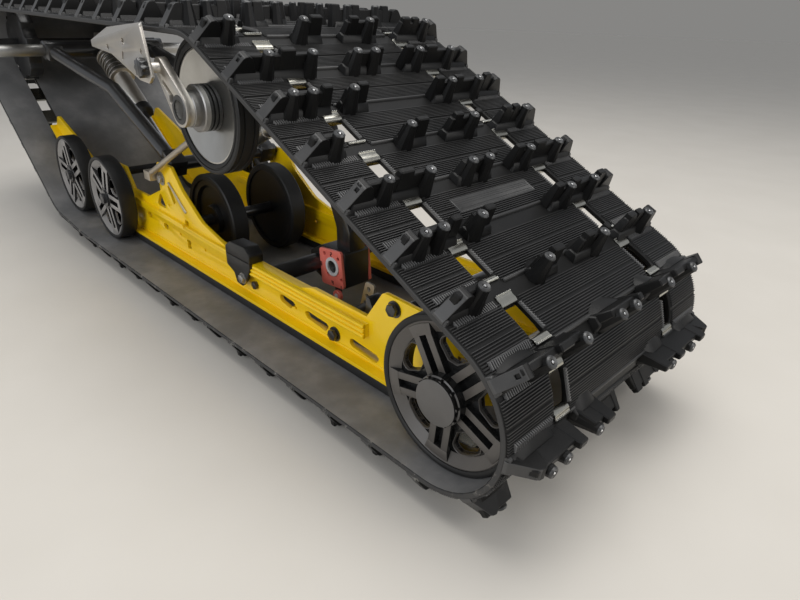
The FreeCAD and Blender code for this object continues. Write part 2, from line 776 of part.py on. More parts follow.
def make_front_arm():
    """Front arm: a cross tube and a foot tube joined by two bent tubes."""
    top = at(FRONT_SHAFT, -ARM_TOP_ACROSS)
    foot = at(ARM_FOOT, -ARM_FOOT_ACROSS)
    knee = at(ARM_KNEE, -ARM_FOOT_ACROSS - ARM_KNEE_OUT)
    top_end = top + (knee - top).normalize() * ARM_TOP_REACH
    foot_end = foot + (knee - foot).normalize() * ARM_FOOT_REACH
    pipe = mitred_tube(top_end, knee, foot_end, ARM_TUBE_RADIUS)
    top_block = block_towards(FRONT_SHAFT, ARM_KNEE, ARM_TUBE_RADIUS + 2, ARM_EYE_WIDTH, ARM_TOP_REACH + 3)
    top_block.translate(Vector(0, -ARM_TOP_ACROSS, 0))
    foot_block = block_towards(ARM_FOOT, ARM_KNEE, ARM_FOOT_RADIUS + 3, ARM_EYE_WIDTH, ARM_FOOT_REACH + 3)
    foot_block.translate(Vector(0, -ARM_FOOT_ACROSS, 0))
    side = joined([pipe, top_block, foot_block])
    arm_reach = ARM_TOP_ACROSS + ARM_EYE_WIDTH / 2
    top_tube = across_rod(FRONT_SHAFT, -arm_reach, arm_reach, FRONT_TUBE_RADIUS)
    foot_tube = across_rod(ARM_FOOT, -WEB_INSIDE, WEB_INSIDE, ARM_FOOT_RADIUS)
    return joined([top_tube, foot_tube, side, mirrored(side)])


def make_rear_arm():
    """Rear arm: a box beam from a sleeve on the upper shaft down to the coupling block."""
    cx, cz = COUPLER
    half = REAR_ARM_RADIUS
    foot = (cx + REAR_ARM_FOOT_AHEAD, cz + BLOCK_HALF)
    bend = foot[1] + REAR_ARM_FOOT_RISE
    beam = plate([(foot[0] - half, foot[1], 0), (foot[0] + half, foot[1], 0),
                  (foot[0] + half, bend, REAR_ARM_BEND), (UPPER[0] + half, UPPER[1], 0),
                  (UPPER[0] - half, UPPER[1], 0), (foot[0] - half, bend, REAR_ARM_BEND)], -half, half)
    wide = REAR_ARM_SLEEVE_WIDTH / 2
    sleeve = across_rod(UPPER, -wide, wide, REAR_ARM_SLEEVE)
    arm = joined([beam, sleeve])
    return arm.cut(across_rod(UPPER, -wide, wide, UPPER_SHAFT_RADIUS + FIT))


# Stop block, from the rail's rib up and down. Columns: x, z above the rib's top, corner radius.
STOP_SADDLE = [(-494, SEAT, 0), (-426, SEAT, 0), (-422, 24, 0), (-484, 24, 0), (-494, 16, 0)]
STOP_CHEEK_OUTLINE = [
    (-494, STOP_OVERLAP, 0),
    (-494, -18, 0),
    (-474, -26, 0),
    (-469, -42, 0),
    (-455, -44, 0),
    (-444, -22, 0),
    (-426, -6, 0),
    (-426, STOP_OVERLAP, 0),
]


def make_stop():
    """Left stop block: saddle over the rail's rib, with a cheek that hangs down its outer side."""
    outer = RAIL_ACROSS + RIB_WIDTH / 2 + SEAT
    saddle_rows = [(x, RIB_TOP + z, r) for x, z, r in stretched(STOP_SADDLE)]
    cheek_rows = [(x, RIB_TOP + z, r) for x, z, r in stretched(STOP_CHEEK_OUTLINE)]
    saddle = plate(saddle_rows, -outer - STOP_CHEEK, -RAIL_ACROSS + RIB_WIDTH / 2)
    cheek = plate(cheek_rows, -outer - STOP_CHEEK, -outer)
    return joined([saddle, cheek])


def make_tie_rod():
    """Left tie rod, from a boss on the rail's tower to the upper shaft."""
    tie = rod(at(TIE_ROD_FOOT, -TIE_ROD_ACROSS), at(UPPER, -TIE_ROD_ACROSS), TIE_ROD_RADIUS)
    x, z = TIE_ROD_FOOT
    outside = RAIL_ACROSS + RAIL_THICK / 2
    boss = box(x - TIE_BOSS / 2, x + TIE_BOSS, -TIE_ROD_ACROSS - TIE_ROD_RADIUS - 1, -outside,
               z - TIE_BOSS / 2, z + TIE_BOSS / 2)
    seat = across_rod(UPPER, -TIE_ROD_ACROSS - TIE_ROD_SEAT, -TIE_ROD_ACROSS + TIE_ROD_SEAT,
                      UPPER_SHAFT_RADIUS + FIT)
    return joined([tie, boss]).cut(seat)


def hexagon(place, y0, y1, reach):
    """Bar with six flats across the unit; reach is from its middle to a corner."""
    corners = [at(place) + unit(60 * i) * reach for i in range(6)]
    return plate([(p.x, p.z, 0) for p in corners], y0, y1)


def make_sprocket():
    """Left drive sprocket: a disc with one tooth for each pitch, on the axle's six flats."""
    low = DRIVER_RADIUS - DRIVER_TOOTH
    points = []
    tooth = [(-0.36, low), (-0.24, DRIVER_RADIUS), (0.0, DRIVER_RADIUS), (0.24, DRIVER_RADIUS), (0.36, low)]
    for i in range(DRIVER_TEETH):
        for share, radius in tooth:
            point = at(DRIVE) + unit(360 / DRIVER_TEETH * (i + share)) * radius
            points.append((point.x, point.z, 0))
    y0 = -WINDOW_ACROSS - DRIVER_WIDTH / 2
    y1 = -WINDOW_ACROSS + DRIVER_WIDTH / 2
    return plate(points, y0, y1).cut(hexagon(DRIVE, y0 - 1, y1 + 1, DRIVE_BAR_REACH + FIT))


def pair(left):
    """Left piece and its mirror in one node."""
    return Part.makeCompound([left, mirrored(left)])


nodes = {}


def both(name, left):
    """Left piece and its mirror in nodes of their own."""
    nodes[name + "_left"] = left
    nodes[name + "_right"] = mirrored(left)


nodes["track"] = make_track()
both("rail", make_rail())
nodes["slide_shoes"] = pair(make_shoe())

nodes["rear_wheels"] = pair(spoked_wheel(REAR, REAR_RADIUS, REAR_WHEEL_FACE))
running = [spoked_wheel(place, BOGIE_RADIUS, BOGIE_FACE) for place in (FRONT_BOGIE, REAR_BOGIE)]
running += [plain_wheel(MID, MID_RADIUS, MID_FACE), cone_wheel(UPPER, UPPER_RADIUS, UPPER_FACE)]
nodes["running_wheels"] = Part.makeCompound(running + [mirrored(w) for w in running])
nodes["rear_wheel_caps"] = pair(cap(REAR, REAR_WHEEL_FACE))
nodes["rear_axle"] = across_rod(REAR, -REAR_WHEEL_FACE + RECESS, REAR_WHEEL_FACE - RECESS, SHAFT_RADIUS)
bogie_places = (FRONT_BOGIE, REAR_BOGIE)
stub_inside = RAIL_ACROSS + RAIL_THICK / 2
stubs = [across_rod(p, -BOGIE_FACE - 4, -stub_inside, SHAFT_RADIUS) for p in bogie_places]
nodes["bogie_axles"] = Part.makeCompound(stubs + [mirrored(s) for s in stubs])
nodes["mid_axle"] = across_rod(MID, -RIB_INSIDE, RIB_INSIDE, SHAFT_RADIUS)

link_outside = LINK_ACROSS + LINK_THICK / 2
link_inside = LINK_ACROSS - LINK_THICK / 2
nodes["upper_shaft"] = tube(at(UPPER, -link_outside), at(UPPER, link_outside), UPPER_SHAFT_RADIUS,
                            UPPER_SHAFT_BORE)
collar_inside = UPPER_FACE - CONE_DEPTH + CONE_LIP
collar_bore = UPPER_SHAFT_RADIUS + FIT
collar_rows = [(collar_bore, 0), (COLLAR_RADIUS, 0), (COLLAR_RADIUS, link_inside - SPACER_FACE),
               (SPACER_RADIUS, link_inside - SPACER_FACE), (SPACER_RADIUS, link_inside - collar_inside),
               (collar_bore, link_inside - collar_inside)]
nodes["hub_collars"] = pair(turned(collar_rows, UPPER, link_inside - FIT))

nodes["tunnel_brackets"] = pair(make_bracket())
nodes["rear_links"] = pair(make_link())
nodes["link_nuts"] = pair(make_nut())

nodes["front_arm"] = make_front_arm()
arm_reach = ARM_TOP_ACROSS + ARM_EYE_WIDTH / 2
nodes["front_arm_shaft"] = Part.makeCompound(
    [across_rod(FRONT_SHAFT, s * arm_reach, s * FRONT_SHAFT_REACH, FRONT_SHAFT_RADIUS) for s in (-1, 1)])
nodes["shock_cross_shaft"] = across_rod(SHOCK_FOOT, -WEB_INSIDE, WEB_INSIDE, SHOCK_PIN_RADIUS)
nodes["front_shock_body"], nodes["front_shock_rod"] = make_shock()
nodes["front_spring"] = make_spring()
nodes["reservoir"] = make_reservoir()

nodes["coupling_tube"] = across_rod(COUPLER_TUBE, -RIB_INSIDE, RIB_INSIDE, TUBE_RADIUS)
cx, cz = COUPLER
half_block = BLOCK_WIDTH / 2
block = box(COUPLER_TUBE[0] - TUBE_RADIUS - BLOCK_WALL, cx + BLOCK_HALF, -half_block, half_block,
            cz - BLOCK_HALF, cz + BLOCK_HALF)
nodes["coupling_block"] = block.cut(across_rod(COUPLER_TUBE, -half_block, half_block, TUBE_RADIUS + FIT))
plate_outside = half_block + PLATE_THICK
red = box(cx - BLOCK_HALF, cx + BLOCK_HALF, -plate_outside, -half_block, cz - BLOCK_HALF, cz + BLOCK_HALF)
nodes["coupling_plates"] = pair(red.cut(across_rod(COUPLER, -plate_outside, -half_block, PLATE_BORE)))
nodes["rear_arm"] = make_rear_arm()

nodes["stop_blocks"] = pair(make_stop())
nodes["rear_cross_tube"] = across_rod(REAR_CROSS, -WEB_INSIDE, WEB_INSIDE, REAR_CROSS_RADIUS)
nodes["tie_rods"] = pair(make_tie_rod())

journal = DRIVE_SHAFT_REACH - JOURNAL_LENGTH
nodes["drive_axle"] = joined([hexagon(DRIVE, -journal, journal, DRIVE_BAR_REACH),
                              across_rod(DRIVE, -DRIVE_SHAFT_REACH, -journal, JOURNAL_RADIUS),
                              across_rod(DRIVE, journal, DRIVE_SHAFT_REACH, JOURNAL_RADIUS)])
nodes["drive_sprockets"] = pair(make_sprocket())

# Move the unit to its own origin and write one file per piece
bounds = nodes["track"].optimalBoundingBox(False, False)
shift = Vector(-(bounds.XMin + bounds.XMax) / 2, 0, -bounds.ZMin)
os.makedirs("parts", exist_ok=True)
for name, shape in nodes.items():
    shape.translate(shift)
    shape.exportStep("parts/" + name + ".step")
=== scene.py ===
import json
import math
import bpy
from mathutils import Matrix, Vector

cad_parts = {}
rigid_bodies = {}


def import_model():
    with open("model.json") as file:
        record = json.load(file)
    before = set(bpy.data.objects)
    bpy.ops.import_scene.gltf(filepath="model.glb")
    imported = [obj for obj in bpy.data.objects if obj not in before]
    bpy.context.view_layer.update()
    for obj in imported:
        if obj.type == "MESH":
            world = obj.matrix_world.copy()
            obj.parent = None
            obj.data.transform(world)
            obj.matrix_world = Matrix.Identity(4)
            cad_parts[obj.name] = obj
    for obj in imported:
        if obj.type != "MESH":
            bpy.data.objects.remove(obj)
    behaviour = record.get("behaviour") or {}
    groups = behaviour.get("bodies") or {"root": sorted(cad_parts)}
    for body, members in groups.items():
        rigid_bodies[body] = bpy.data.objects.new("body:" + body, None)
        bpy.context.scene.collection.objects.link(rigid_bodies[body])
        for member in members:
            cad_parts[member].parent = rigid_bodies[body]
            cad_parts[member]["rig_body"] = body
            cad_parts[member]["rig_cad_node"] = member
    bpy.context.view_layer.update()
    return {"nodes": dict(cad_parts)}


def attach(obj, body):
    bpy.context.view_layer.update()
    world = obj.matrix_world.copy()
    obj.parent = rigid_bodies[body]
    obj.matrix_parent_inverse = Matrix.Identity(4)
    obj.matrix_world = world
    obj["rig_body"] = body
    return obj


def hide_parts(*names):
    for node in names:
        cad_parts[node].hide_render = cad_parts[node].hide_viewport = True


# Looks of a snowmobile's track and rear suspension.
# Sizes in the tables are millimetres from the rear axle: x to the rear, z up, the left side at -y.
# Meshes are in metres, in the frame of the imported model.

MM = 0.001
AXLE = Vector((0.698024, 0.0, 0.124517))

# The belt's loop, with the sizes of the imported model: pitch, bars, belt, windows, runs and bends.
PITCH = 72.6
BARS = 48
BELT_WIDTH = 406.0
BELT_THICK = 6.4
LUG_HEIGHT = 31.8
BAR_AHEAD = 38.0
WINDOW_LENGTH = 40.0
WINDOW_WIDTH = 22.0
WINDOW_ACROSS = 117.0
DRIVER = 7 * PITCH / (2 * math.pi) - BELT_THICK / 2
SEAT = 0.3
TOP_RISE = 27.5
UPPER_RUN = 477.0
FRONT_RISE = 38.5
BEND_PLACE = -1093.0
BEND_RISE = 10.5
SOLE_PLACE = -950.0
SOLE_RADIUS = 600.0

# Wheels: places, radii and how far their outer faces are from the middle
REAR = (0.0, 0.0)
MID = (-647.0, -5.0)
REAR_BOGIE = (-900.0, -5.0)
REAR_RADIUS, UPPER_RADIUS, BOGIE_RADIUS = 86.0, 84.0, 81.0
REAR_FACE, UPPER_FACE, BOGIE_FACE, MID_FACE = 177.0, 176.0, 167.0, 75.0


def unit(angle):
    """Unit vector in the side view, from +X towards +Z."""
    return Vector((math.cos(math.radians(angle)), 0, math.sin(math.radians(angle))))


def tangent_angle(first, second):
    """Angle of the outward normal of the outer run from one circle to the next."""
    (x1, z1, r1), (x2, z2, r2) = first, second
    away = math.hypot(x2 - x1, z2 - z1)
    return math.degrees(math.atan2(z2 - z1, x2 - x1) - math.acos((r1 - r2) / away))


def loop_circles(slope_run):
    """Circles (x, z, radius) under the belt, for a given length of its front slope."""
    rear, upper, bogie = REAR_RADIUS + SEAT, UPPER_RADIUS + SEAT, BOGIE_RADIUS + SEAT
    top = unit(90 - TOP_RISE) * (rear - upper) + unit(180 - TOP_RISE) * UPPER_RUN
    bend = Vector((BEND_PLACE, 0, bogie - rear + BEND_RISE))
    drive = bend + unit(-90 - FRONT_RISE) * (bogie - DRIVER) - unit(-FRONT_RISE) * slope_run
    return [(0.0, 0.0, rear), (top.x, top.z, upper), (drive.x, drive.z, DRIVER),
            (bend.x, bend.z, bogie), (SOLE_PLACE, SOLE_RADIUS - rear, SOLE_RADIUS)]


def loop_parts(circles):
    """Arc and run after each circle: (x, z, radius, angle in, angle out, run length)."""
    count = len(circles)
    outs = [tangent_angle(circles[i], circles[(i + 1) % count]) for i in range(count)]
    parts = []
    for i, (x, z, r) in enumerate(circles):
        nx, nz, nr = circles[(i + 1) % count]
        run = math.sqrt((nx - x) ** 2 + (nz - z) ** 2 - (nr - r) ** 2)
        parts.append((x, z, r, outs[i - 1], outs[i - 1] + (outs[i] - outs[i - 1]) % 360, run))
    return parts


def loop_length(circles):
    """Length of the belt's middle line."""
    return sum(math.radians(a1 - a0) * (r + BELT_THICK / 2) + run
               for _, _, r, a0, a1, run in loop_parts(circles))


low, high = 0.0, PITCH * BARS
for step in range(60):
    half_way = (low + high) / 2
    if loop_length(loop_circles(half_way)) < PITCH * BARS:
        low = half_way
    else:
        high = half_way
CIRCLES = loop_circles(low)
LOOP = loop_parts(CIRCLES)
UPPER, FRONT_BOGIE = CIRCLES[1][:2], CIRCLES[3][:2]


def station(along):
    """Point on the belt's inner face and its outward angle, at a distance along the loop."""
    left = along % (PITCH * BARS)
    order = [(LOOP[0], True)] + [(p, False) for p in LOOP[1:]] + [(LOOP[0], False)]
    for (x, z, r, a0, a1, run), run_only in order:
        arc = math.radians(a1 - a0) * (r + BELT_THICK / 2)
        if not run_only:
            if left <= arc:
                angle = a0 + math.degrees(left / (r + BELT_THICK / 2))
                return Vector((x, 0, z)) + unit(angle) * r, angle
            left -= arc
        if left <= run:
            return Vector((x, 0, z)) + unit(a1) * r + unit(a1 + 90) * left, a1
        left -= run
    return unit(LOOP[0][4]) * LOOP[0][2], LOOP[0][4]


def at(place, across=0.0):
    """Point in the frame, in metres, from a side view place and a distance across."""
    return Vector((place[0], across, place[1])) * MM + AXLE


# Modelling by hand, in code

def clear():
    """Nothing selected, in object mode."""
    if bpy.context.object and bpy.context.object.mode != "OBJECT":
        bpy.ops.object.mode_set(mode="OBJECT")
    bpy.ops.object.select_all(action="DESELECT")


def only(piece):
    """Just this piece selected and active."""
    clear()
    piece.select_set(True)
    bpy.context.view_layer.objects.active = piece


def edit(piece, mode="VERT"):
    """Edit mode on one piece, with its whole mesh selected."""
    only(piece)
    bpy.ops.object.mode_set(mode="EDIT")
    bpy.ops.mesh.select_mode(type=mode)
    bpy.ops.mesh.select_all(action="SELECT")


def done():
    """Back to object mode."""
    bpy.ops.object.mode_set(mode="OBJECT")


def started(name):
    """The primitive just added, named."""
    piece = bpy.context.object
    piece.name = name
    piece.data.name = name
    return piece


def settled(piece):
    """Place, turn and size moved into the mesh."""
    only(piece)
    bpy.ops.object.transform_apply(location=True, rotation=True, scale=True)
    return piece


def modified(piece, kind, **settings):
    """A modifier added and applied."""
    only(piece)
    modifier = piece.modifiers.new(kind.title(), kind)
    for key, value in settings.items():
        setattr(modifier, key, value)
    bpy.ops.object.modifier_apply(modifier=modifier.name)
    return piece


def edged(piece, width, segments=2, angle=30.0):
    """Edges rounded where faces meet at more than an angle; width in millimetres."""
    return modified(piece, "BEVEL", width=width * MM, segments=segments, limit_method="ANGLE",
                    angle_limit=math.radians(angle), use_clamp_overlap=True, harden_normals=False)


def smoothed(piece, angle=35.0):
    """Smooth shading, sharp above an angle."""
    only(piece)
    bpy.ops.object.shade_smooth_by_angle(angle=math.radians(angle))
    return piece


def united(pieces, name):
    """Pieces joined into one mesh."""
    clear()
    for piece in pieces:
        piece.select_set(True)
    bpy.context.view_layer.objects.active = pieces[0]
    bpy.ops.object.join()
    return started(name)


def copied(piece, name, matrix):
    """Copy with its own mesh, moved by a matrix."""
    only(piece)
    bpy.ops.object.duplicate()
    copy = started(name)
    copy.data.transform(matrix)
    if matrix.determinant() < 0:
        copy.data.flip_normals()
    return copy


def removed(piece):
    """A helper shape taken away."""
    only(piece)
    bpy.ops.object.delete()


def picked(piece, test):
    """Edit mode with only the faces selected whose centre and normal pass a test."""
    edit(piece, "FACE")
    bpy.ops.mesh.select_all(action="DESELECT")
    done()
    for face in piece.data.polygons:
        face.select = test(face.center, face.normal)
    bpy.ops.object.mode_set(mode="EDIT")


def pushed(name, corners, push):
    """Plate whose corners are points in metres, pushed out along a vector."""
    clear()
    bpy.ops.mesh.primitive_circle_add(vertices=len(corners), radius=0.01, fill_type="NGON")
    piece = started(name)
    for vertex, corner in zip(piece.data.vertices, corners):
        vertex.co = corner
    edit(piece, "FACE")
    bpy.ops.mesh.extrude_region_move(TRANSFORM_OT_translate={"value": push})
    bpy.ops.mesh.select_all(action="SELECT")
    bpy.ops.mesh.normals_make_consistent(inside=False)
    done()
    return piece


def prism(name, outline, y0, y1):
    """Plate of a side view outline between two distances across, in millimetres."""
    return pushed(name, [at(place, y0) for place in outline], (0, (y1 - y0) * MM, 0))


def rounded(rows, steps=5):
    """Side view outline with its corners rounded, from rows of (x, z, radius)."""
    outline = []
    for i, (x, z, radius) in enumerate(rows):
        corner = Vector((x, z))
        before = Vector(rows[i - 1][:2]) - corner
        after = Vector(rows[(i + 1) % len(rows)][:2]) - corner
        if radius == 0:
            outline.append((x, z))
            continue
        half = before.angle(after) / 2
        reach = min(radius / math.tan(half), before.length * 0.49, after.length * 0.49)
        first = corner + before.normalized() * reach
        last = corner + after.normalized() * reach
        centre = corner + (before.normalized() + after.normalized()).normalized() * reach / math.cos(half)
        for step in range(steps + 1):
            out = (first - centre).slerp(last - centre, step / steps)
            outline.append(tuple(centre + out.normalized() * (first - centre).length))
    return outline


def ring_of(place, radius, count, turn=0.0, wave=0.0, waves=0):
    """Round side view outline, with waves in its edge."""
    outline = []
    for i in range(count):
        angle = 360 / count * i
        r = radius + wave * math.cos(math.radians(angle * waves))
        outline.append((place[0] + r * math.cos(math.radians(angle + turn)),
                        place[1] + r * math.sin(math.radians(angle + turn))))
    return outline


def slot_of(x0, z0, x1, z1, half, steps=6):
    """Side view outline of a slot with round ends."""
    angle = math.degrees(math.atan2(z1 - z0, x1 - x0))
    outline = []
    for x, z, start in ((x1, z1, angle - 90), (x0, z0, angle + 90)):
        for step in range(steps + 1):
            turn = math.radians(start + 180 / steps * step)
            outline.append((x + half * math.cos(turn), z + half * math.sin(turn)))
    return outline


def block(name, x0, x1, y0, y1, z0, z1):
    """Box between two corners, in millimetres from the rear axle."""
    clear()
    middle = at(((x0 + x1) / 2, (z0 + z1) / 2), (y0 + y1) / 2)
    bpy.ops.mesh.primitive_cube_add(size=1, location=middle)
    piece = started(name)
    piece.scale = (abs(x1 - x0) * MM, abs(y1 - y0) * MM, abs(z1 - z0) * MM)
    return settled(piece)


def lathed(name, rows, start, end, segments=48):
    """Shape turned about the line from one point towards another; rows of (radius, distance along)."""
    clear()
    r0, d0 = rows[0]
    bpy.ops.mesh.primitive_circle_add(vertices=segments, radius=r0 * MM, location=(0, 0, d0 * MM))
    piece = settled(started(name))
    edit(piece)
    for (ra, da), (rb, db) in zip(rows, rows[1:]):
        bpy.ops.mesh.extrude_region_move(TRANSFORM_OT_translate={"value": (0, 0, (db - da) * MM)})
        bpy.ops.transform.resize(value=(rb / ra, rb / ra, 1), center_override=(0, 0, 0))
    bpy.ops.mesh.select_all(action="SELECT")
    bpy.ops.mesh.remove_doubles(threshold=0.00001)
    bpy.ops.mesh.fill_holes(sides=0)
    bpy.ops.mesh.normals_make_consistent(inside=False)
    done()
    turn = (end - start).to_track_quat("Z", "Y").to_matrix().to_4x4()
    piece.data.transform(Matrix.Translation(start) @ turn)
    return piece


def turned(name, rows, place, face, segments=72):
    """Shape on the left turned about an axis across; rows of (radius, depth inwards from the face)."""
    start = at(place, -face)
    return lathed(name, rows, start, start + Vector((0, 1, 0)), segments)


def rod(name, start, end, radius, segments=24):
    """Round bar between two points; radius in millimetres."""
    length = (end - start).length / MM
    return lathed(name, [(radius, 0), (radius, length)], start, end, segments)


def bolt(name, place, y0, y1, radius, washer=0.0):
    """Hexagon head with a washer under it, on the left: y0 is its seat and y1 its top."""
    head = edged(prism(name, ring_of(place, radius, 6, 12.0), y0, y1), 0.9, 2)
    if washer:
        rows = [(0.5, 0), (washer, 0), (washer, 1.6), (0.5, 1.6)]
        head = united([head, turned("washer", rows, place, abs(y0) + 1.6, 28)], name)
    return smoothed(head, 35)


def cut(piece, cutters):
    """Piece with the cutters taken out of it."""
    for cutter in cutters:
        modified(piece, "BOOLEAN", operation="DIFFERENCE", object=cutter, solver="EXACT")
    for cutter in cutters:
        removed(cutter)
    return piece


def shown(piece, finish, slot, *nodes):
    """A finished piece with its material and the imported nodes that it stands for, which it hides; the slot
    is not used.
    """
    if not piece.data.materials:
        piece.data.materials.append(finish)
    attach(piece, "root")
    if nodes:
        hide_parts(*nodes)
    return piece


def painted_light_toned(piece, first, second, test):
    """Piece with two finishes: the second, which paints sheen on some pieces and shade on others, on the
    faces whose centre and normal pass a test.
    """
    piece.data.materials.append(first)
    piece.data.materials.append(second)
    for face in piece.data.polygons:
        face.material_index = 1 if test(face.center, face.normal) else 0
    return piece


def both_sides(piece, finish, slot, *nodes):
    """The left piece and its mirror on the right, both finished."""
    right = copied(piece, piece.name + "_right", Matrix.Diagonal((1, -1, 1, 1)))
    shown(piece, finish, slot, *nodes)
    shown(right, finish, slot, *nodes)


def dressed(node, finish, slot, width=1.0, segments=2, angle=35.0, cutters=()):
    """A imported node's shape with its facets merged, cut, its edges rounded and its own finish."""
    clear()
    source = frame["nodes"][node]
    piece = source.copy()
    piece.data = source.data.copy()
    piece.parent = None
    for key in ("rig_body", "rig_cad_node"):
        if key in piece:
            del piece[key]
    bpy.context.scene.collection.objects.link(piece)
    piece.name = "look_" + node
    piece.data.materials.clear()
    edit(piece, "FACE")
    bpy.ops.mesh.remove_doubles(threshold=0.00002)
    bpy.ops.mesh.dissolve_limited(angle_limit=math.radians(1.0))
    done()
    cut(piece, list(cutters))
    edged(piece, width, segments, angle)
    smoothed(piece, angle)
    return shown(piece, finish, slot, node)


# Finishes

class Value:
    """A shader number that takes part in sums."""

    def __init__(self, finish, socket):
        self.finish = finish
        self.socket = socket

    def sum_of(self, operation, first, second):
        node = self.finish.node("ShaderNodeMath", {"operation": operation}, {0: first, 1: second})
        return Value(self.finish, node.outputs[0])

    def __add__(self, other):
        return self.sum_of("ADD", self, other)

    def __radd__(self, other):
        return self.sum_of("ADD", other, self)

    def __rsub__(self, other):
        return self.sum_of("SUBTRACT", other, self)

    def __mul__(self, other):
        return self.sum_of("MULTIPLY", self, other)

    def between(self, low, high):
        """0 below the low value, 1 above the high one, smooth between."""
        node = self.finish.node("ShaderNodeMapRange", {"interpolation_type": "SMOOTHSTEP"},
                                {"Value": self, "From Min": low, "From Max": high})
        return Value(self.finish, node.outputs["Result"])


class Finish:
    """A procedural material under construction."""

    def __init__(self, name, fixed):
        self.material = bpy.data.materials.new(name)
        self.material.use_nodes = True
        self.tree = self.material.node_tree
        self.shader = self.tree.nodes["Principled BSDF"]
        for key, value in fixed.items():
            self.shader.inputs[key].default_value = value

    def node(self, kind, settings, inputs):
        """A node with its settings, and the values or links of its sockets."""
        node = self.tree.nodes.new(kind)
        for key, value in settings.items():
            setattr(node, key, value)
        for key, value in inputs.items():
            self.feed(node.inputs[key], value)
        return node

    def feed(self, socket, value):
        """A value set on a socket, or linked to it."""
        if isinstance(value, Value):
            value = value.socket
        if isinstance(value, bpy.types.NodeSocket):
            self.tree.links.new(value, socket)
        else:
            socket.default_value = value

    def where(self):
        return self.node("ShaderNodeTexCoord", {}, {}).outputs["Object"]

    def coordinate(self, axis):
        """Where a point is along an axis, in metres."""
        return self.node("ShaderNodeSeparateXYZ", {}, {"Vector": self.where()}).outputs[axis]

    def height(self):
        return Value(self, self.coordinate("Z"))

    def off_middle(self):
        """How far a point is from the unit's middle plane."""
        node = self.node("ShaderNodeMath", {"operation": "ABSOLUTE"}, {0: self.coordinate("Y")})
        return Value(self, node.outputs[0])

    def noise(self, scale, detail=3.0, roughness=0.5, stretch=(1, 1, 1)):
        place = self.node("ShaderNodeMapping", {}, {"Vector": self.where(), "Scale": stretch})
        node = self.node("ShaderNodeTexNoise", {}, {"Vector": place.outputs[0], "Scale": scale,
                                                    "Detail": detail, "Roughness": roughness})
        return Value(self, node.outputs[0])

    def mix(self, share, first, second):
        """The first colour, turning to the second where the share is high."""
        node = self.node("ShaderNodeMix", {"data_type": "RGBA"}, {})
        self.feed(node.inputs["Factor"], share)
        for key, value in (("A", first), ("B", second)):
            socket = [s for s in node.inputs if s.name == key and s.type == "RGBA"][0]
            self.feed(socket, value)
        return [s for s in node.outputs if s.type == "RGBA"][0]

    def bump(self, height, strength, distance):
        node = self.node("ShaderNodeBump", {}, {"Strength": strength, "Distance": distance, "Height": height})
        self.feed(self.shader.inputs["Normal"], node.outputs[0])

    def colour(self, value):
        self.feed(self.shader.inputs["Base Color"], value)

    def roughness(self, value):
        self.feed(self.shader.inputs["Roughness"], value)


def grey(level, warmth=0.0):
    """A near neutral colour."""
    return (level * (1 + warmth), level, level * (1 - warmth), 1.0)


DUST = (0.26, 0.24, 0.21, 1)
SCUFF = (0.46, 0.43, 0.38, 1)


def rubber_finish(name, level, rough, shine=0.32):
    """Moulded rubber: fine grain, a soft sheen, a painted highlight along the belt's outer edges, and low
    down dust and scuffs.
    """
    finish = Finish(name, {"Metallic": 0.0, "Specular IOR Level": shine})
    grain = finish.noise(900.0, 2.0)
    cloud = finish.noise(14.0, 5.0, 0.6)
    dust = finish.noise(60.0, 6.0, 0.7).between(0.52, 0.75)
    low_down = 1.0 - finish.height().between(0.02, 0.16)
    shade = finish.mix(cloud.between(0.35, 0.75), grey(level), grey(level * 1.6, 0.02))
    # Painted highlight: a pale band on the faces at the belt's outer edges, where the edge catches the light;
    # it also lightens the fins' outer faces.
    edge = finish.off_middle().between(0.2018, 0.2028)
    shade = finish.mix(edge * 0.7, shade, grey(0.065, 0.02))
    shade = finish.mix(dust * low_down * 0.08, shade, DUST)
    scuff = finish.noise(75.0, 7.0, 0.8).between(0.56, 0.63)
    scuff = scuff * finish.off_middle().between(0.1965, 0.2015)
    finish.colour(finish.mix(scuff * low_down * 0.4, shade, SCUFF))
    finish.roughness(rough + cloud * 0.12 + dust * low_down * 0.2)
    finish.bump(grain * 0.6 + cloud, 0.22, 0.0006)
    return finish.material


def paint_finish(name, colour, dark, rough, coat=0.6):
    """Glossy paint over metal: a little unevenness, and dirt in patches."""
    finish = Finish(name, {"Metallic": 0.0, "Coat Weight": coat, "Coat Roughness": 0.12})
    cloud = finish.noise(9.0, 4.0, 0.6)
    peel = finish.noise(260.0, 2.0)
    scuff = finish.noise(70.0, 8.0, 0.75).between(0.60, 0.78)
    shade = finish.mix(cloud.between(0.3, 0.8), colour, dark)
    finish.colour(finish.mix(scuff * 0.25, shade, tuple(c * 0.55 for c in colour[:3]) + (1.0,)))
    finish.roughness(rough + cloud * 0.12 + scuff * 0.15)
    finish.bump(peel, 0.10, 0.0003)
    return finish.material


def metal_finish(name, colour, dark, rough, stretch=(1, 1, 1), grain=700.0, metallic=1.0):
    """Bare or plated metal with brushed or cloudy grain."""
    finish = Finish(name, {"Metallic": metallic})
    brushed = finish.noise(grain, 3.0, 0.6, stretch)
    cloud = finish.noise(16.0, 5.0, 0.6)
    finish.colour(finish.mix(cloud.between(0.3, 0.75), colour, dark))
    finish.roughness(rough + brushed * 0.14 + cloud * 0.10)
    finish.bump(brushed, 0.12, 0.0002)
    return finish.material


def plastic_finish(name, level, rough, warmth=0.0, shine=0.5):
    """Moulded plastic with a satin face, a faint texture and a little dust."""
    finish = Finish(name, {"Metallic": 0.0, "Specular IOR Level": shine})
    grain = finish.noise(1100.0, 2.0)
    cloud = finish.noise(11.0, 5.0, 0.6)
    dust = finish.noise(90.0, 7.0, 0.7).between(0.58, 0.8)
    shade = finish.mix(cloud.between(0.3, 0.75), grey(level, warmth), grey(level * 1.4, warmth))
    finish.colour(finish.mix(dust * 0.16, shade, (0.22, 0.20, 0.17, 1)))
    finish.roughness(rough + cloud * 0.12 + dust * 0.15)
    finish.bump(grain, 0.10, 0.0003)
    return finish.material


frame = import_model()

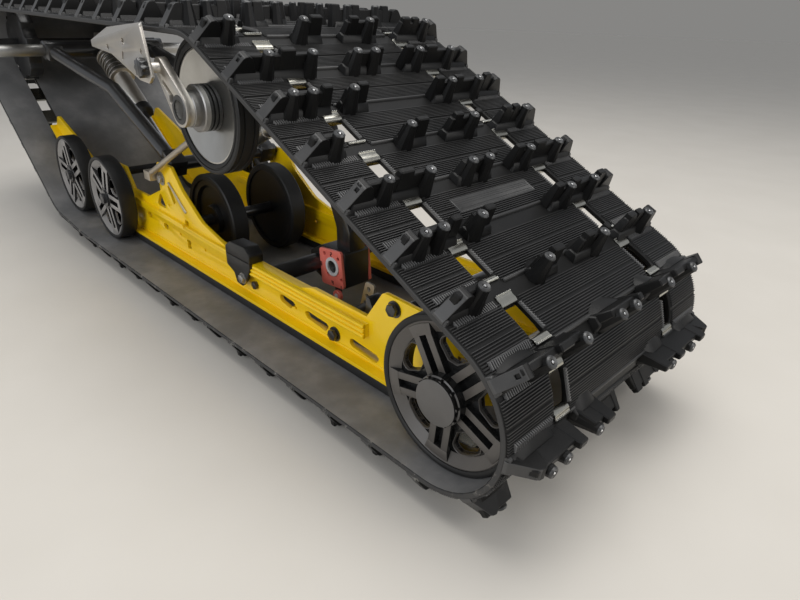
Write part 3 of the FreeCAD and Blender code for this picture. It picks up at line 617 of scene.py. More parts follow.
BELT_RUBBER = rubber_finish("belt_rubber", 0.005, 0.42, 0.2)
# Painted highlight: a lighter copy of the belt rubber for the ridges and bar ribs, for the light on their
# tops against the darker belt between them.
RIDGE_HIGHLIGHT_RUBBER = rubber_finish("ridge_rubber_painted_highlight", 0.020, 0.34, 0.4)
# Painted sheen: a much lighter copy of the belt rubber for the belt's inner faces, for the sheen of the
# overhead light on them.
INNER_SHEEN_RUBBER = rubber_finish("belt_inner_painted_sheen", 0.138, 0.40, 0.4)
LUG_RUBBER = rubber_finish("lug_rubber", 0.006, 0.34, 0.22)
# Painted sheen: a lighter copy of the lug rubber for the fins' outward faces, their pads and the plaque, for
# the sheen of the lights on them.
FIN_SHEEN_RUBBER = rubber_finish("fin_rubber_painted_sheen", 0.030, 0.36, 0.45)
# Painted highlight: a much lighter copy of the rubber for the edge combs and the window strips, for the
# glints on their small teeth.
COMB_HIGHLIGHT_RUBBER = rubber_finish("comb_rubber_painted_highlight", 0.10, 0.36, 0.45)
TYRE_RUBBER = rubber_finish("tyre_rubber", 0.013, 0.42)
STUD_METAL = metal_finish("stud_seat", grey(0.075, -0.02), grey(0.045), 0.24, grain=300.0, metallic=0.4)
PIN_METAL = metal_finish("stud_pin", grey(0.75), grey(0.6), 0.2)
CLIP_ZINC = metal_finish("clip_zinc", (0.50, 0.49, 0.44, 1), (0.34, 0.33, 0.29, 1), 0.10, grain=90.0)
CLIP_TEETH_ZINC = metal_finish("clip_teeth", (0.85, 0.84, 0.78, 1), (0.7, 0.69, 0.64, 1), 0.2)
YELLOW = paint_finish("rail_yellow", (1.0, 0.66, 0.002, 1), (0.93, 0.59, 0.002, 1), 0.24, 0.35)
BLACK_COAT = paint_finish("black_powder_coat", (0.014, 0.014, 0.015, 1), (0.022, 0.022, 0.023, 1), 0.24)
WHEEL_PLASTIC = plastic_finish("wheel_plastic", 0.068, 0.30, 0.10)
# Dark glossy plastic of the wheels' webs; it is also laid on the spokes' sides, the hubs and the caps' sides
# as painted shade.
WEB_AND_SHADE_PLASTIC = plastic_finish("wheel_web_and_painted_shade_plastic", 0.010, 0.12)
BOGIE_PLASTIC = plastic_finish("bogie_plastic", 0.21, 0.26, 0.05)
CAP_PLASTIC = plastic_finish("cap_plastic", 0.085, 0.32, 0.05)
BLACK_PLASTIC = plastic_finish("black_plastic", 0.012, 0.30)
SHOE_PLASTIC = plastic_finish("shoe_plastic", 0.016, 0.36)
ALLOY = metal_finish("brushed_alloy", (0.64, 0.61, 0.56, 1), (0.52, 0.49, 0.45, 1), 0.28, (1, 1, 14), 160.0)
TIE_ALLOY = metal_finish("tie_rod_alloy", (0.58, 0.52, 0.43, 1), (0.46, 0.41, 0.34, 1), 0.34)
SILVER_DISC = metal_finish("silver_disc", (0.60, 0.59, 0.56, 1), (0.50, 0.49, 0.46, 1), 0.20)
STEEL = metal_finish("machined_steel", (0.50, 0.49, 0.47, 1), (0.36, 0.36, 0.35, 1), 0.30)
COLLAR_STEEL = metal_finish("collar_steel", (0.33, 0.32, 0.31, 1), (0.22, 0.22, 0.21, 1), 0.26)
SPRING_STEEL = metal_finish("spring_steel", (0.30, 0.29, 0.28, 1), (0.20, 0.20, 0.19, 1), 0.22)
# Dark steel of the spacer, the link's bearing and the coupling's eye; also the dark floors of the link
# pockets, which are painted shade.
DARK_STEEL_AND_SHADE = metal_finish("dark_steel_and_painted_shade", (0.14, 0.14, 0.14, 1), (0.08, 0.08, 0.08, 1), 0.32)
CHROME = metal_finish("chrome_rod", (0.78, 0.78, 0.78, 1), (0.66, 0.66, 0.66, 1), 0.08)
RED = paint_finish("red_plate", (0.93, 0.22, 0.17, 1), (0.82, 0.18, 0.14, 1), 0.32, 0.2)
WHITE_RING = plastic_finish("white_ring", 0.62, 0.4)


# The belt

def wrapped(piece):
    """A flat belt piece bent round the loop: -X along, Y across, Z out from the inner face."""
    for vertex in piece.data.vertices:
        point, angle = station(-vertex.co.x / MM)
        there = (point + unit(angle) * (vertex.co.z / MM)) * MM
        vertex.co = Vector((there.x, vertex.co.y, there.z)) + AXLE


def on_belt(piece, along, name):
    """Copy of a rigid piece modelled on a flat belt, set at a station."""
    point, angle = station(along)
    place = Matrix.Translation(point * MM + AXLE) @ Matrix.Rotation(math.radians(90 - angle), 4, "Y")
    return copied(piece, name, place)


def round_loop(rows, name, ahead=0.0):
    """Rigid rows in turn at every bar, or a distance ahead of it, joined into one piece."""
    start = BAR_AHEAD + ahead
    placed = [on_belt(rows[bar % len(rows)], start + bar * PITCH, "placed") for bar in range(BARS)]
    for row in rows:
        removed(row)
    return united(placed, name)


def flat_block(name, x0, x1, y0, y1, z0, z1, top=1.0, top_across=1.0):
    """Block on the flat belt, in millimetres, whose top is narrower along and across."""
    clear()
    bpy.ops.mesh.primitive_cube_add(size=1, location=Vector((x0 + x1, y0 + y1, z0 + z1)) / 2 * MM)
    piece = started(name)
    piece.scale = ((x1 - x0) * MM, (y1 - y0) * MM, (z1 - z0) * MM)
    settled(piece)
    picked(piece, lambda centre, normal: normal.z > 0.5)
    middle = Vector((x0 + x1, y0 + y1, 2 * z1)) / 2 * MM
    bpy.ops.transform.resize(value=(top, top_across, 1), center_override=middle)
    done()
    return piece


def flat_plate(name, corners, thick):
    """Plate across the flat belt, from corners in millimetres, pushed out along a vector."""
    return pushed(name, [Vector(corner) * MM for corner in corners], Vector(thick) * MM)


def open_underneath(piece):
    """A piece without its lowest face, which lies in the rubber."""
    picked(piece, lambda centre, normal: normal.z < -0.5)
    bpy.ops.mesh.delete(type="FACE")
    done()
    return piece


def repeated(piece, count, along=0.0, across=0.0, merge=False):
    """Piece repeated forward along the flat belt, or across it; steps in millimetres."""
    return modified(piece, "ARRAY", count=count, use_relative_offset=False, use_constant_offset=True,
                    constant_offset_displace=(-along * MM, across * MM, 0), use_merge_vertices=merge,
                    merge_threshold=0.00001)


def make_belt():
    """Belt: one pitch with its two windows, repeated and bent round the loop."""
    clear()
    bpy.ops.mesh.primitive_plane_add(size=1)
    belt = started("belt")
    belt.scale = (PITCH * MM, BELT_WIDTH * MM, 1)
    settled(belt)
    edge, end = BELT_WIDTH / 2 - 5, WINDOW_LENGTH / 2
    near, far = WINDOW_ACROSS - WINDOW_WIDTH / 2, WINDOW_ACROSS + WINDOW_WIDTH / 2
    lines_along = (-28, -end, -10, 0, 10, end, 28)
    lines_across = (-edge, -far, -near, -40, 40, near, far, edge)
    for direction, places in (((1, 0, 0), lines_along), ((0, 1, 0), lines_across)):
        for place in places:
            edit(belt)
            bpy.ops.mesh.bisect(plane_co=Vector(direction) * place * MM, plane_no=direction)
    picked(belt, lambda centre, normal: abs(centre.x) < end * MM and near * MM < abs(centre.y) < far * MM)
    bpy.ops.mesh.delete(type="FACE")
    done()
    repeated(belt, BARS, along=PITCH, merge=True)
    belt.data.transform(Matrix.Translation((-(BAR_AHEAD + PITCH / 2) * MM, 0, BELT_THICK * MM)))
    wrapped(belt)
    edit(belt)
    bpy.ops.mesh.remove_doubles(threshold=0.00002)
    done()
    modified(belt, "SOLIDIFY", thickness=BELT_THICK * MM, offset=-1.0, use_even_offset=False)
    smoothed(edged(belt, 1.2, 1, 50))
    middle = at(MID)
    # Painted sheen: the faces that look into the loop get the lighter inner rubber.
    painted_light_toned(belt, BELT_RUBBER, INNER_SHEEN_RUBBER, lambda centre, normal: abs(normal.y) < 0.5
              and normal.dot(middle - Vector((centre.x, 0, centre.z))) > 0)
    shown(belt, BELT_RUBBER, "track_rubber", "track")


# Fine ridges between the bars, in two groups with a gap. Bands: across from and to.
RIDGES = 9
RIDGES_FROM, RIDGES_TO = 8.0, PITCH - 12.5
RIDGE_HALF = 0.8
RIDGE_HEIGHT = 1.7
RIDGE_BANDS = [(-201, -131), (-103, 103), (131, 201)]


def make_ridges():
    """Fine ridges across the belt, in three bands."""
    step = (RIDGES_TO - RIDGES_FROM) / (2 * RIDGES + 1)
    bands = []
    for y0, y1 in RIDGE_BANDS:
        ridge = flat_block("ridge", -RIDGE_HALF, RIDGE_HALF, y0, y1, BELT_THICK - 0.4,
                           BELT_THICK + RIDGE_HEIGHT, 0.5, 0.995)
        bands.append(repeated(open_underneath(ridge), RIDGES, step))
    ridges = repeated(united(bands, "belt_ridges"), 2, (RIDGES + 1) * step)
    repeated(ridges, BARS, PITCH)
    ridges.data.transform(Matrix.Translation((-(BAR_AHEAD + RIDGES_FROM + step / 2) * MM, 0, 0)))
    wrapped(ridges)
    # The ridges take the lighter ridge rubber, a painted highlight.
    shown(ridges, RIDGE_HIGHLIGHT_RUBBER, "track_rubber", "track")


def make_bar_ribs():
    """A low rounded rib along every bar, between its lugs and between the windows."""
    rib = edged(flat_block("rib", -10.5, -4.5, -101, 101, ROOT, BELT_THICK + 2.8, 0.5, 0.99), 0.9)
    # The ribs take the lighter ridge rubber, a painted highlight.
    shown(smoothed(round_loop([rib], "bar_ribs"), 40), RIDGE_HIGHLIGHT_RUBBER, "track_rubber", "track")


# Lugs of the three rows that repeat. Columns: root from and to, studs, flat prongs from and to.
LUG_ROWS = [
    [(-198, -146, [-163], []),
     (-68, -24, [-59], [(-45, -28)]),
     (8, 72, [52], [(20, 34), (62, 70)]),
     (108, 196, [163], [(119, 134), (140, 152)])],
    [(-198, -113, [-170, -145], [(-129, -116)]),
     (-98, -58, [-87], [(-77, -63)]),
     (54, 197, [82, 138], [(56, 70), (94, 108), (155, 168)])],
    [(-198, -84, [-155, -95], [(-137, -117)]),
     (-42, 22, [-26, 4], [(12, 20)]),
     (62, 196, [86, 150], [(63, 77), (104, 124)])],
]
TOP = BELT_THICK + LUG_HEIGHT
ROOT = BELT_THICK - 1
# Round shapes on the lugs. Rows: radius, distance up.
POST_ROWS = [(12.0, 0), (9.0, 14), (6.0, TOP - ROOT - 2.2)]
STUD_ROWS = [(5.4, -3.2), (6.3, -2.6), (6.3, -1.5), (5.0, 0.0), (3.1, -0.6), (2.4, -0.9), (2.2, -2.2)]
PIN_ROWS = [(1.5, 0), (1.5, 1.6), (0.9, 2.2)]
STUD_BACK = 3.5
# Where ramps may stand, clear of the clips: across from and to.
RAMP_RANGES = [(-200, -132), (-102, 102), (132, 200)]
RAMP_RISE = 10.5
RAMP_BACK = -7
# Fins at the belt's edges. Rows: across, up; the notch's are from its own middle.
FIN_OUTLINE = [(-203, ROOT), (-203, 8.5), (-199.5, 13), (-187.5, 31), (-185, 33), (-180, 34), (-175, 31),
               (-168, 14), (-166, ROOT)]
FIN_THICK = 13
NOTCH = [(-2.2, 2.6), (3.2, 2.6), (7.0, -1.0), (3.0, -4.0)]
COMB_TEETH = 20
COMB_STEP = 2.9
BELT_EDGE = BELT_WIDTH / 2


def upright(name, rows, across, foot, segments):
    """Turned shape that stands on the flat belt at a stud's place."""
    start = Vector((STUD_BACK, across, foot)) * MM
    return lathed(name, rows, start, start + Vector((0, 0, 1)), segments)


def make_ramp(middle, wide):
    """Lens-shaped ramp that rises from the belt to a lug's front."""
    half_lens = [(RAMP_BACK, 1), (-15, 0.7), (-19, 0.25)]
    lens = [(x, -share) for x, share in half_lens] + half_lens[::-1]
    corners = [(x, middle + share * wide, ROOT) for x, share in lens]
    ramp = flat_plate("lug_ramp", corners, (0, 0, RAMP_RISE))
    picked(ramp, lambda centre, normal: normal.z > 0.5)
    lug_side = Vector((RAMP_BACK, middle, ROOT + RAMP_RISE)) * MM
    bpy.ops.transform.resize(value=(0.1, 0.8, 1), center_override=lug_side)
    done()
    return ramp


def make_lug(root0, root1, studs, prongs):
    """A lug: a low wedge foot, a wall, round posts, flat prongs and low ramps ahead of it."""
    pieces = [flat_block("lug_foot", -10, 11, root0, root1, ROOT, BELT_THICK + 9, 0.5, 0.93),
              flat_block("lug_wall", -8, 4.5, root0 + 3, root1 - 3, ROOT, TOP - 6, 0.6, 0.86)]
    for clear_from, clear_to in RAMP_RANGES:
        y0, y1 = max(root0, clear_from) + 2, min(root1, clear_to) - 2
        if y1 - y0 > 14:
            pieces.append(make_ramp((y0 + y1) / 2, (y1 - y0) / 2))
    for y0, y1 in prongs:
        taper = (y1 - y0) / (y1 - y0 + 6)
        pieces.append(flat_block("prong", -9, 5, y0 - 3, y1 + 3, ROOT, TOP, 0.55, taper))
    for piece in pieces:
        edged(piece, 1.2, 1)
    return pieces + [upright("post", POST_ROWS, y, ROOT, 10) for y in studs]


def make_fin(side):
    """Steep fin that closes the outer end of an edge lug, with a pad at its foot."""
    fin = flat_plate("fin", [(-7, -side * y, z) for y, z in FIN_OUTLINE], (FIN_THICK, 0, 0))
    corners = [(-2.4, side * (185 + y), 27 + z) for y, z in NOTCH]
    cut(fin, [flat_plate("notch", corners, (4.4, 0, 0))])
    edged(fin, 0.9, 1)
    # Painted sheen: the fin's faces that look outwards get the lighter fin rubber.
    painted_light_toned(fin, LUG_RUBBER, FIN_SHEEN_RUBBER, lambda centre, normal: normal.y * side > 0.35)
    middle = side * (BELT_EDGE - 4)
    pad = flat_block("pad", -11, 10, middle - 4, middle + 4, BELT_THICK - 3, BELT_THICK + 4.2, 0.8, 0.5)
    # Painted highlight: the pad takes the lighter fin rubber.
    pad.data.materials.append(FIN_SHEEN_RUBBER)
    return [fin, edged(pad, 0.7, 1)]


def make_comb(side):
    """Short teeth beside an edge lug, on both sides of the bar."""
    combs = []
    start = side * 164 - 29
    for x0 in (-20, 7):
        tooth = flat_block("tooth", x0, x0 + 9, start, start + 1.8, ROOT, BELT_THICK + 2.4, 0.8, 0.5)
        combs.append(repeated(open_underneath(tooth), COMB_TEETH, across=COMB_STEP))
    return combs


# What stands on the bars. Columns: piece, finish.
LUG_KINDS = [("belt_lugs", LUG_RUBBER), ("belt_studs", STUD_METAL), ("belt_pins", PIN_METAL),
             ("belt_fins", FIN_SHEEN_RUBBER), ("belt_combs", COMB_HIGHLIGHT_RUBBER)]


def make_lugs():
    """All rows of lugs and their studs, set round the loop."""
    rows = []
    for lugs in LUG_ROWS:
        studs = [y for lug in lugs for y in lug[2]]
        kinds = [sum([make_lug(*lug) for lug in lugs], []),
                 [upright("stud", STUD_ROWS, y, TOP, 12) for y in studs],
                 [upright("pin", PIN_ROWS, y, TOP - 2.2, 7) for y in studs],
                 make_fin(-1) + make_fin(1), make_comb(-1) + make_comb(1)]
        rows.append([united(pieces, "row") for pieces in kinds])
    for (name, finish), same in zip(LUG_KINDS, zip(*rows)):
        shown(smoothed(round_loop(same, name), 32), finish, "track_rubber", "track")


# Sections of a window clip's two folded edges, behind and ahead of the bar.
# Rows: x, height over the belt's outer face.
CLIP_SECTIONS = [
    [(5, 0), (5, 2.2), (8, 2.2), (8.4, 1.5), (14.2, 1.5), (17.2, 0.2), (18.4, -2.4), (18.4, -6.6), (17, -6.6),
     (17, -2), (15.4, 0)],
    [(-10.6, 0), (-10.6, 2.2), (-13.6, 2.2), (-14, 1.5), (-15.2, 1.5), (-17.2, 0.2), (-18.4, -2.4),
     (-18.4, -6.6), (-17, -6.6), (-17, -2), (-15.4, 0)],
]
CLIP_HALF = 12.0
CLIP_END = 18.4
CLIP_TEETH = 9


def make_clips():
    """Folded metal clips round every bar, at both columns of windows."""
    clips = []
    teeth = []
    for side in (-1, 1):
        y0, y1 = side * WINDOW_ACROSS - CLIP_HALF, side * WINDOW_ACROSS + CLIP_HALF
        for section in CLIP_SECTIONS:
            corners = [(x, y0, BELT_THICK + up) for x, up in section]
            clips.append(edged(flat_plate("clip", corners, (0, y1 - y0, 0)), 0.5, 1))
            start = section[1][0]
            x0, x1 = sorted((start, start * 1.22))
            tooth = flat_block("tooth", x0, x1, y0 + 0.5, y0 + 2.2, BELT_THICK + 2, BELT_THICK + 3.4,
                               0.8, 0.6)
            teeth.append(repeated(open_underneath(tooth), CLIP_TEETH, across=2 * CLIP_HALF / CLIP_TEETH))
        clips.append(flat_block("inside", -CLIP_END, CLIP_END, y0, y1, -0.25, 1.0))
    for pieces, name, finish in ((clips, "belt_clips", CLIP_ZINC),
                                 (teeth, "belt_clip_teeth", CLIP_TEETH_ZINC)):
        shown(smoothed(round_loop([united(pieces, "row")], name), 30), finish, "steel", "track")


def make_window_strips():
    """Toothed strip along the inner edge of every window."""
    strips = []
    for side in (-1, 1):
        y0, y1 = sorted((side * 103.2, side * 106.4))
        strips.append(flat_block("strip", -17, 17, y0, y1, ROOT, BELT_THICK + 0.9, 0.98, 0.9))
        tooth = flat_block("tooth", 15, 16.6, y0, y1, BELT_THICK, BELT_THICK + 1.9, 0.6, 0.8)
        strips.append(repeated(open_underneath(tooth), 12, 2.85))
    placed = round_loop([united(strips, "row")], "window_strips", PITCH / 2)
    # Painted highlight: the strips take the pale comb rubber, for the glints along them.
    shown(placed, COMB_HIGHLIGHT_RUBBER, "track_rubber", "track")


PLAQUE_ALONG = 147.0


def make_plaque():
    """Bare raised field on the top run, with a low frame."""
    plaque = flat_block("plaque", -11, 11, -73, 68, ROOT, BELT_THICK + 2.2, 0.92, 0.985)
    picked(plaque, lambda centre, normal: normal.z > 0.5)
    bpy.ops.mesh.inset(thickness=1.4 * MM, depth=0)
    bpy.ops.mesh.inset(thickness=0.5 * MM, depth=-0.7 * MM)
    done()
    placed = on_belt(edged(plaque, 0.4, 1), PLAQUE_ALONG, "belt_plaque")
    removed(plaque)
    # The field takes the lighter fin rubber, whose paler tone is painted sheen.
    shown(smoothed(placed, 30), FIN_SHEEN_RUBBER, "track_rubber", "track")


# Wheels

SPOKES = 5
# The two bars of a spoke, from and to across its middle line.
SPOKE_BARS = [(-13.2, -4.6), (4.6, 13.2)]
HUB_BORE = 11.0
TYRE_HEIGHT = 7.0
RIM_HEIGHT = 20.0
WEB_FRONT, WEB_BACK = 10.0, 14.5
LIP_SIZE = 1.07


def about(place, angle):
    """Turn about an axis across the unit."""
    centre = at(place)
    turn = Matrix.Rotation(math.radians(-angle), 4, "Y")
    return Matrix.Translation(centre) @ turn @ Matrix.Translation(-centre)


def polar(place, radius, angle):
    """Side view place at a distance and angle from another."""
    turn = math.radians(angle)
    return (place[0] + radius * math.cos(turn), place[1] + radius * math.sin(turn))


def turned_pair(name, place, face, rows, finish, slot, *nodes, segments=72, angle=30):
    """A turned piece, smooth, on both sides; rows of (radius, depth inwards from the face)."""
    both_sides(smoothed(turned(name, rows, place, face, segments), angle), finish, slot, *nodes)


def opening_outline(place, inside, outside, middle):
    """Side view outline of a rounded opening in a wheel, about a middle angle."""
    # Columns: radius, turn, rounding.
    corners = [(inside, 8, 4), (inside, -8, 4), (outside - 8, -20, 6), (outside, -14, 8),
               (outside + 1, 0, 60), (outside, 14, 8), (outside - 8, 20, 6)]
    rows = [polar(place, radius, middle + turn) + (rounding,) for radius, turn, rounding in corners]
    return rounded(rows, 4)


def make_spoked_wheel(name, place, radius, face, plastic, first_angle, hub, node):
    """Left wheel: tyre, sloping rim, dark web with rounded openings, and five pairs of bars."""
    rim, inner = radius - TYRE_HEIGHT, radius - RIM_HEIGHT
    inside, outside = (hub + inner) / 2 - 6, inner - 2.0
    tyre_rows = [(rim, 4.0), (rim + 0.2, 1.4), (rim + 1.6, 0.3), (radius - 2.6, 0.0), (radius - 0.7, 0.9),
                 (radius, 2.8), (radius, 27.0), (radius - 2.0, 30.0), (rim, 30.0), (rim, 4.0)]
    rim_rows = [(rim, 2.4), (rim - 1.2, 1.9), (inner + 1.4, 8.0), (inner, 8.8), (inner - 0.6, 12.0),
                (inner, 26.0), (rim, 28.0), (rim, 2.4)]
    hub_rows = [(HUB_BORE, 1.6), (hub - 1.2, 1.6), (hub, 2.6), (hub + 0.8, 16.0), (HUB_BORE, 16.0),
                (HUB_BORE, 1.6)]
    web_rows = [(hub, WEB_FRONT), (inner, WEB_FRONT), (inner, WEB_BACK), (hub, WEB_BACK), (hub, WEB_FRONT)]
    tyre = smoothed(turned(name + "_tyre", tyre_rows, place, face))
    bars = [turned(name + "_rim", rim_rows, place, face), turned(name + "_hub", hub_rows, place, face)]
    web = turned(name + "_web", web_rows, place, face)
    cutters = []
    lips = []
    for i in range(SPOKES):
        spoke = first_angle + 360 / SPOKES * i
        for low, high in SPOKE_BARS:
            bar = block("bar", place[0] + hub - 3, place[0] + inner + 3.5, -face + 2.2, -face + 17.0,
                        place[1] + low, place[1] + high)
            bar.data.transform(about(place, spoke))
            bars.append(edged(bar, 0.8))
        arc = [polar(place, inner - 1.5, spoke + 12.0 - 8 * k) for k in range(4)]
        arc += [polar(place, rim - 2.2, spoke - 12.0 + 8 * k) for k in range(4)]
        bars.append(edged(prism("segment", arc, -face + 1.8, -face + 16.0), 0.8))
        middle = spoke + 180 / SPOKES
        outline = opening_outline(place, inside, outside, middle)
        cutters.append(prism("opening", outline, -face + 7, -face + 19))
        lip = prism("lip", outline, -face + 6.5, -face + 15.5)
        centre = at(polar(place, (inside + outside) / 2, middle), -face + 11)
        edit(lip)
        bpy.ops.transform.resize(value=(LIP_SIZE, 1.0, LIP_SIZE), center_override=centre)
        done()
        lips.append(edged(cut(lip, [prism("hole", outline, -face + 4, -face + 18)]), 0.5, 1))
    axle = at(place)
    spokes = smoothed(united(bars, name + "_frame"), 32)
    # Painted shade: the bars' side walls, the faces that look inwards and the hub get the dark web plastic,
    # for the shade and dark reflections in the wheel's pockets.
    painted_light_toned(spokes, plastic, WEB_AND_SHADE_PLASTIC, lambda centre, normal: normal.y > -0.4
              or (centre - axle).xz.length < (hub + 1) * MM)
    smoothed(edged(cut(web, cutters), 0.6, 1, 32), 32)
    lips = smoothed(united(lips, name + "_lips"), 32)
    both_sides(tyre, TYRE_RUBBER, "track_rubber", node)
    both_sides(spokes, plastic, "wheel_plastic", node)
    both_sides(web, WEB_AND_SHADE_PLASTIC, "wheel_plastic", node)
    both_sides(lips, plastic, "wheel_plastic", node)


def make_upper_wheels():
    """Upper wheels: a silver cone that sinks to the shaft, in a tyre with two grooves."""
    tyre_rows = [(71.0, 3.5), (71.5, 1.0), (73.5, 0.0), (76.0, 0.0), (76.6, 1.2), (78.0, 1.2), (78.6, 0.0),
                 (82.0, 0.0), (84.0, 1.6), (84.0, 7.0), (82.2, 7.6), (82.2, 9.2), (84.0, 9.8), (84.0, 20.2),
                 (82.2, 20.8), (82.2, 22.4), (84.0, 23.0), (84.0, 28.4), (82.0, 30.0), (71.0, 30.0),
                 (71.0, 3.5)]
    cone_rows = [(15.4, 13.0), (30.0, 11.5), (31.5, 11.0), (66.0, 3.6), (68.5, 2.6), (70.6, 2.8), (71.0, 4.0),
                 (71.0, 28.0), (15.4, 28.0), (15.4, 13.0)]
    tyre = smoothed(turned("upper_wheel_tyre", tyre_rows, UPPER, UPPER_FACE))
    cone = smoothed(turned("upper_wheel_disc", cone_rows, UPPER, UPPER_FACE), 20)
    both_sides(tyre, TYRE_RUBBER, "track_rubber", "running_wheels")
    both_sides(cone, SILVER_DISC, "wheel_plastic", "running_wheels")


def make_mid_wheels():
    """Inner wheels: a tyre round a dished disc."""
    tyre_rows = [(70.0, 3.0), (71.0, 0.5), (79.0, 0.0), (81.0, 2.0), (81.0, 28.0), (79.0, 30.0), (70.0, 30.0),
                 (70.0, 3.0)]
    disc_rows = [(10.5, 2.0), (24.0, 2.0), (25.5, 3.0), (27.0, 11.0), (58.0, 11.0), (61.0, 5.0), (70.0, 4.0),
                 (70.0, 27.0), (10.5, 27.0), (10.5, 2.0)]
    tyre = smoothed(turned("mid_wheel_tyre", tyre_rows, MID, MID_FACE))
    disc = smoothed(turned("mid_wheel_disc", disc_rows, MID, MID_FACE), 30)
    both_sides(tyre, TYRE_RUBBER, "track_rubber", "running_wheels")
    both_sides(disc, BLACK_PLASTIC, "wheel_plastic", "running_wheels")


CAP_RIBS = 10


def make_caps():
    """Round caps on the rear wheels with small ribs round their sides, and heads on the bogies' axles."""
    rows = [(23.6, -13.0), (24.8, -12.4), (25.2, -11.4), (25.2, -7.0), (26.6, -6.0), (27.0, 0.0), (27.0, 3.4)]
    pieces = [turned("rear_cap", rows, REAR, REAR_FACE)]
    for i in range(CAP_RIBS):
        rib = block("rib", 24.0, 26.4, -REAR_FACE - 11, -REAR_FACE + 1, -1.3, 1.3)
        rib.data.transform(about(REAR, 360 / CAP_RIBS * i + 10))
        pieces.append(rib)
    cap = smoothed(united(pieces, "rear_cap"))
    # Painted shade: the cap's sides and its ribs' sides get the dark web plastic; only its outward face keeps
    # the cap plastic.
    painted_light_toned(cap, CAP_PLASTIC, WEB_AND_SHADE_PLASTIC, lambda centre, normal: normal.y > -0.6)
    both_sides(cap, CAP_PLASTIC, "wheel_plastic", "rear_wheel_caps")
    head_rows = [(9.0, -6.0), (10.0, -5.4), (10.4, -1.0), (16.0, -0.4), (16.0, 1.8), (9.0, 1.8)]
    for number, place in enumerate((FRONT_BOGIE, REAR_BOGIE)):
        turned_pair("bogie_head_%d" % number, place, BOGIE_FACE, head_rows, BLACK_COAT, "black_steel",
                    segments=32, angle=35)


# Rails and what is fixed on them

# Slots from (x, z) to (x, z) with half a width, and holes with a radius.
SLOTS = [(-362, -43, -343, -46.5, 5.6), (-298, -46, -262, -49.5, 6.2), (-203, -49.5, -161, -53.5, 6.2),
         (-812, -25.5, -804, -25.5, 5.5), (-743, -31, -735, -31, 5.5)]
SMALL_HOLES = [(-328, -46, 2.6), (-590, -35, 3.0), (-680, -31, 3.0), (-711, 16, 3.0)]
LOBED_HOLES = [(-648, -4, 6.0), (-650, -39.5, 7.0)]
TRIANGLE = [(-741, 34, 4), (-723, 6, 4), (-763, 6, 4)]
RAIL_INSIDE, RAIL_OUTSIDE = 103.0, 131.0
# The beaded channel on the rail's rib: where it starts and ends at its top, its height and its beads.
CHANNEL_REAR, CHANNEL_FRONT = -172, -418
CHANNEL_TOP, CHANNEL_HIGH = -7.4, 20.0
CHANNEL_BEADS = [-10.6, -17.4, -24.2]
CHANNEL_FACE = -127.6
FOOT_FACE = -119.6
# The stop blocks' outer face, and the inner faces of their saddle and cheek.
STOP_FACE, SADDLE_INSIDE, CHEEK_INSIDE = -132.6, -108.0, -127.0
# Bolt heads on the left rail. Columns: x, z, seat, top, radius, washer's radius.
BLACK_BOLTS = [(-239, -51, -120, -128, 8.4, 10.5), (-127, 29, -120, -128, 8.4, 10.5),
               (-431, -45, -120, -126, 7.0, 0)]
SILVER_BOLTS = [(-448, -36, -132, -138, 7.4, 9.0), (-724, 62, -120, -127, 8.0, 12.0)]


def rail_cutters(side):
    """Cutters for the holes and slots of one rail."""
    y0, y1 = sorted((side * RAIL_OUTSIDE, side * RAIL_INSIDE))
    outlines = [slot_of(*row) for row in SLOTS]
    outlines += [ring_of((x, z), r, 16) for x, z, r in SMALL_HOLES]
    outlines += [ring_of((x, z), r, 30, 30, 1.6, 3) for x, z, r in LOBED_HOLES]
    outlines.append(rounded(TRIANGLE, 3))
    return [prism("cutter", outline, y0, y1) for outline in outlines]


def make_channel():
    """Beaded channel along the rear half of the rail's rib, and the bead along its foot."""
    foot = CHANNEL_TOP - CHANNEL_HIGH
    outline = [(CHANNEL_REAR, CHANNEL_TOP), (CHANNEL_REAR, foot), (CHANNEL_FRONT - CHANNEL_HIGH, foot),
               (CHANNEL_FRONT, CHANNEL_TOP)]
    pieces = [edged(prism("channel", outline, -126.3, -128.0), 0.5, 1)]
    for z in CHANNEL_BEADS:
        front = CHANNEL_FRONT - (CHANNEL_TOP - z)
        pieces.append(rod("bead", at((CHANNEL_REAR, z), CHANNEL_FACE), at((front, z), CHANNEL_FACE), 2.9, 16))
    pieces.append(rod("foot_bead", at((-70, -62), FOOT_FACE), at((-945, -62), FOOT_FACE), 2.2, 12))
    both_sides(smoothed(united(pieces, "rail_channel"), 40), YELLOW, "rail_paint")


def plate(name, outline, y0, y1, edge, holes=(), segments=2, angle=35):
    """Smooth plate on the left, with holes through it and rounded edges."""
    piece = cut(prism(name, outline, y0, y1), [prism("hole", hole, y0 - 4, y1 + 4) for hole in holes])
    return smoothed(edged(piece, edge, segments), angle)


def make_rail_bolts():
    """Black and silver bolt heads on the rails and stop blocks, and a strip on the rails' towers."""
    for name, rows, finish, slot in (("black_bolts", BLACK_BOLTS, BLACK_COAT, "black_steel"),
                                     ("silver_bolts", SILVER_BOLTS, STEEL, "steel")):
        heads = [bolt("bolt", row[:2], *row[2:]) for row in rows]
        both_sides(united(heads, name), finish, slot)
    strip = [(-699, 60), (-694, 62), (-640, 20), (-645, 16)]
    both_sides(plate("tower_strip", strip, -120, -122.5, 0.5, segments=1), ALLOY, "alloy")


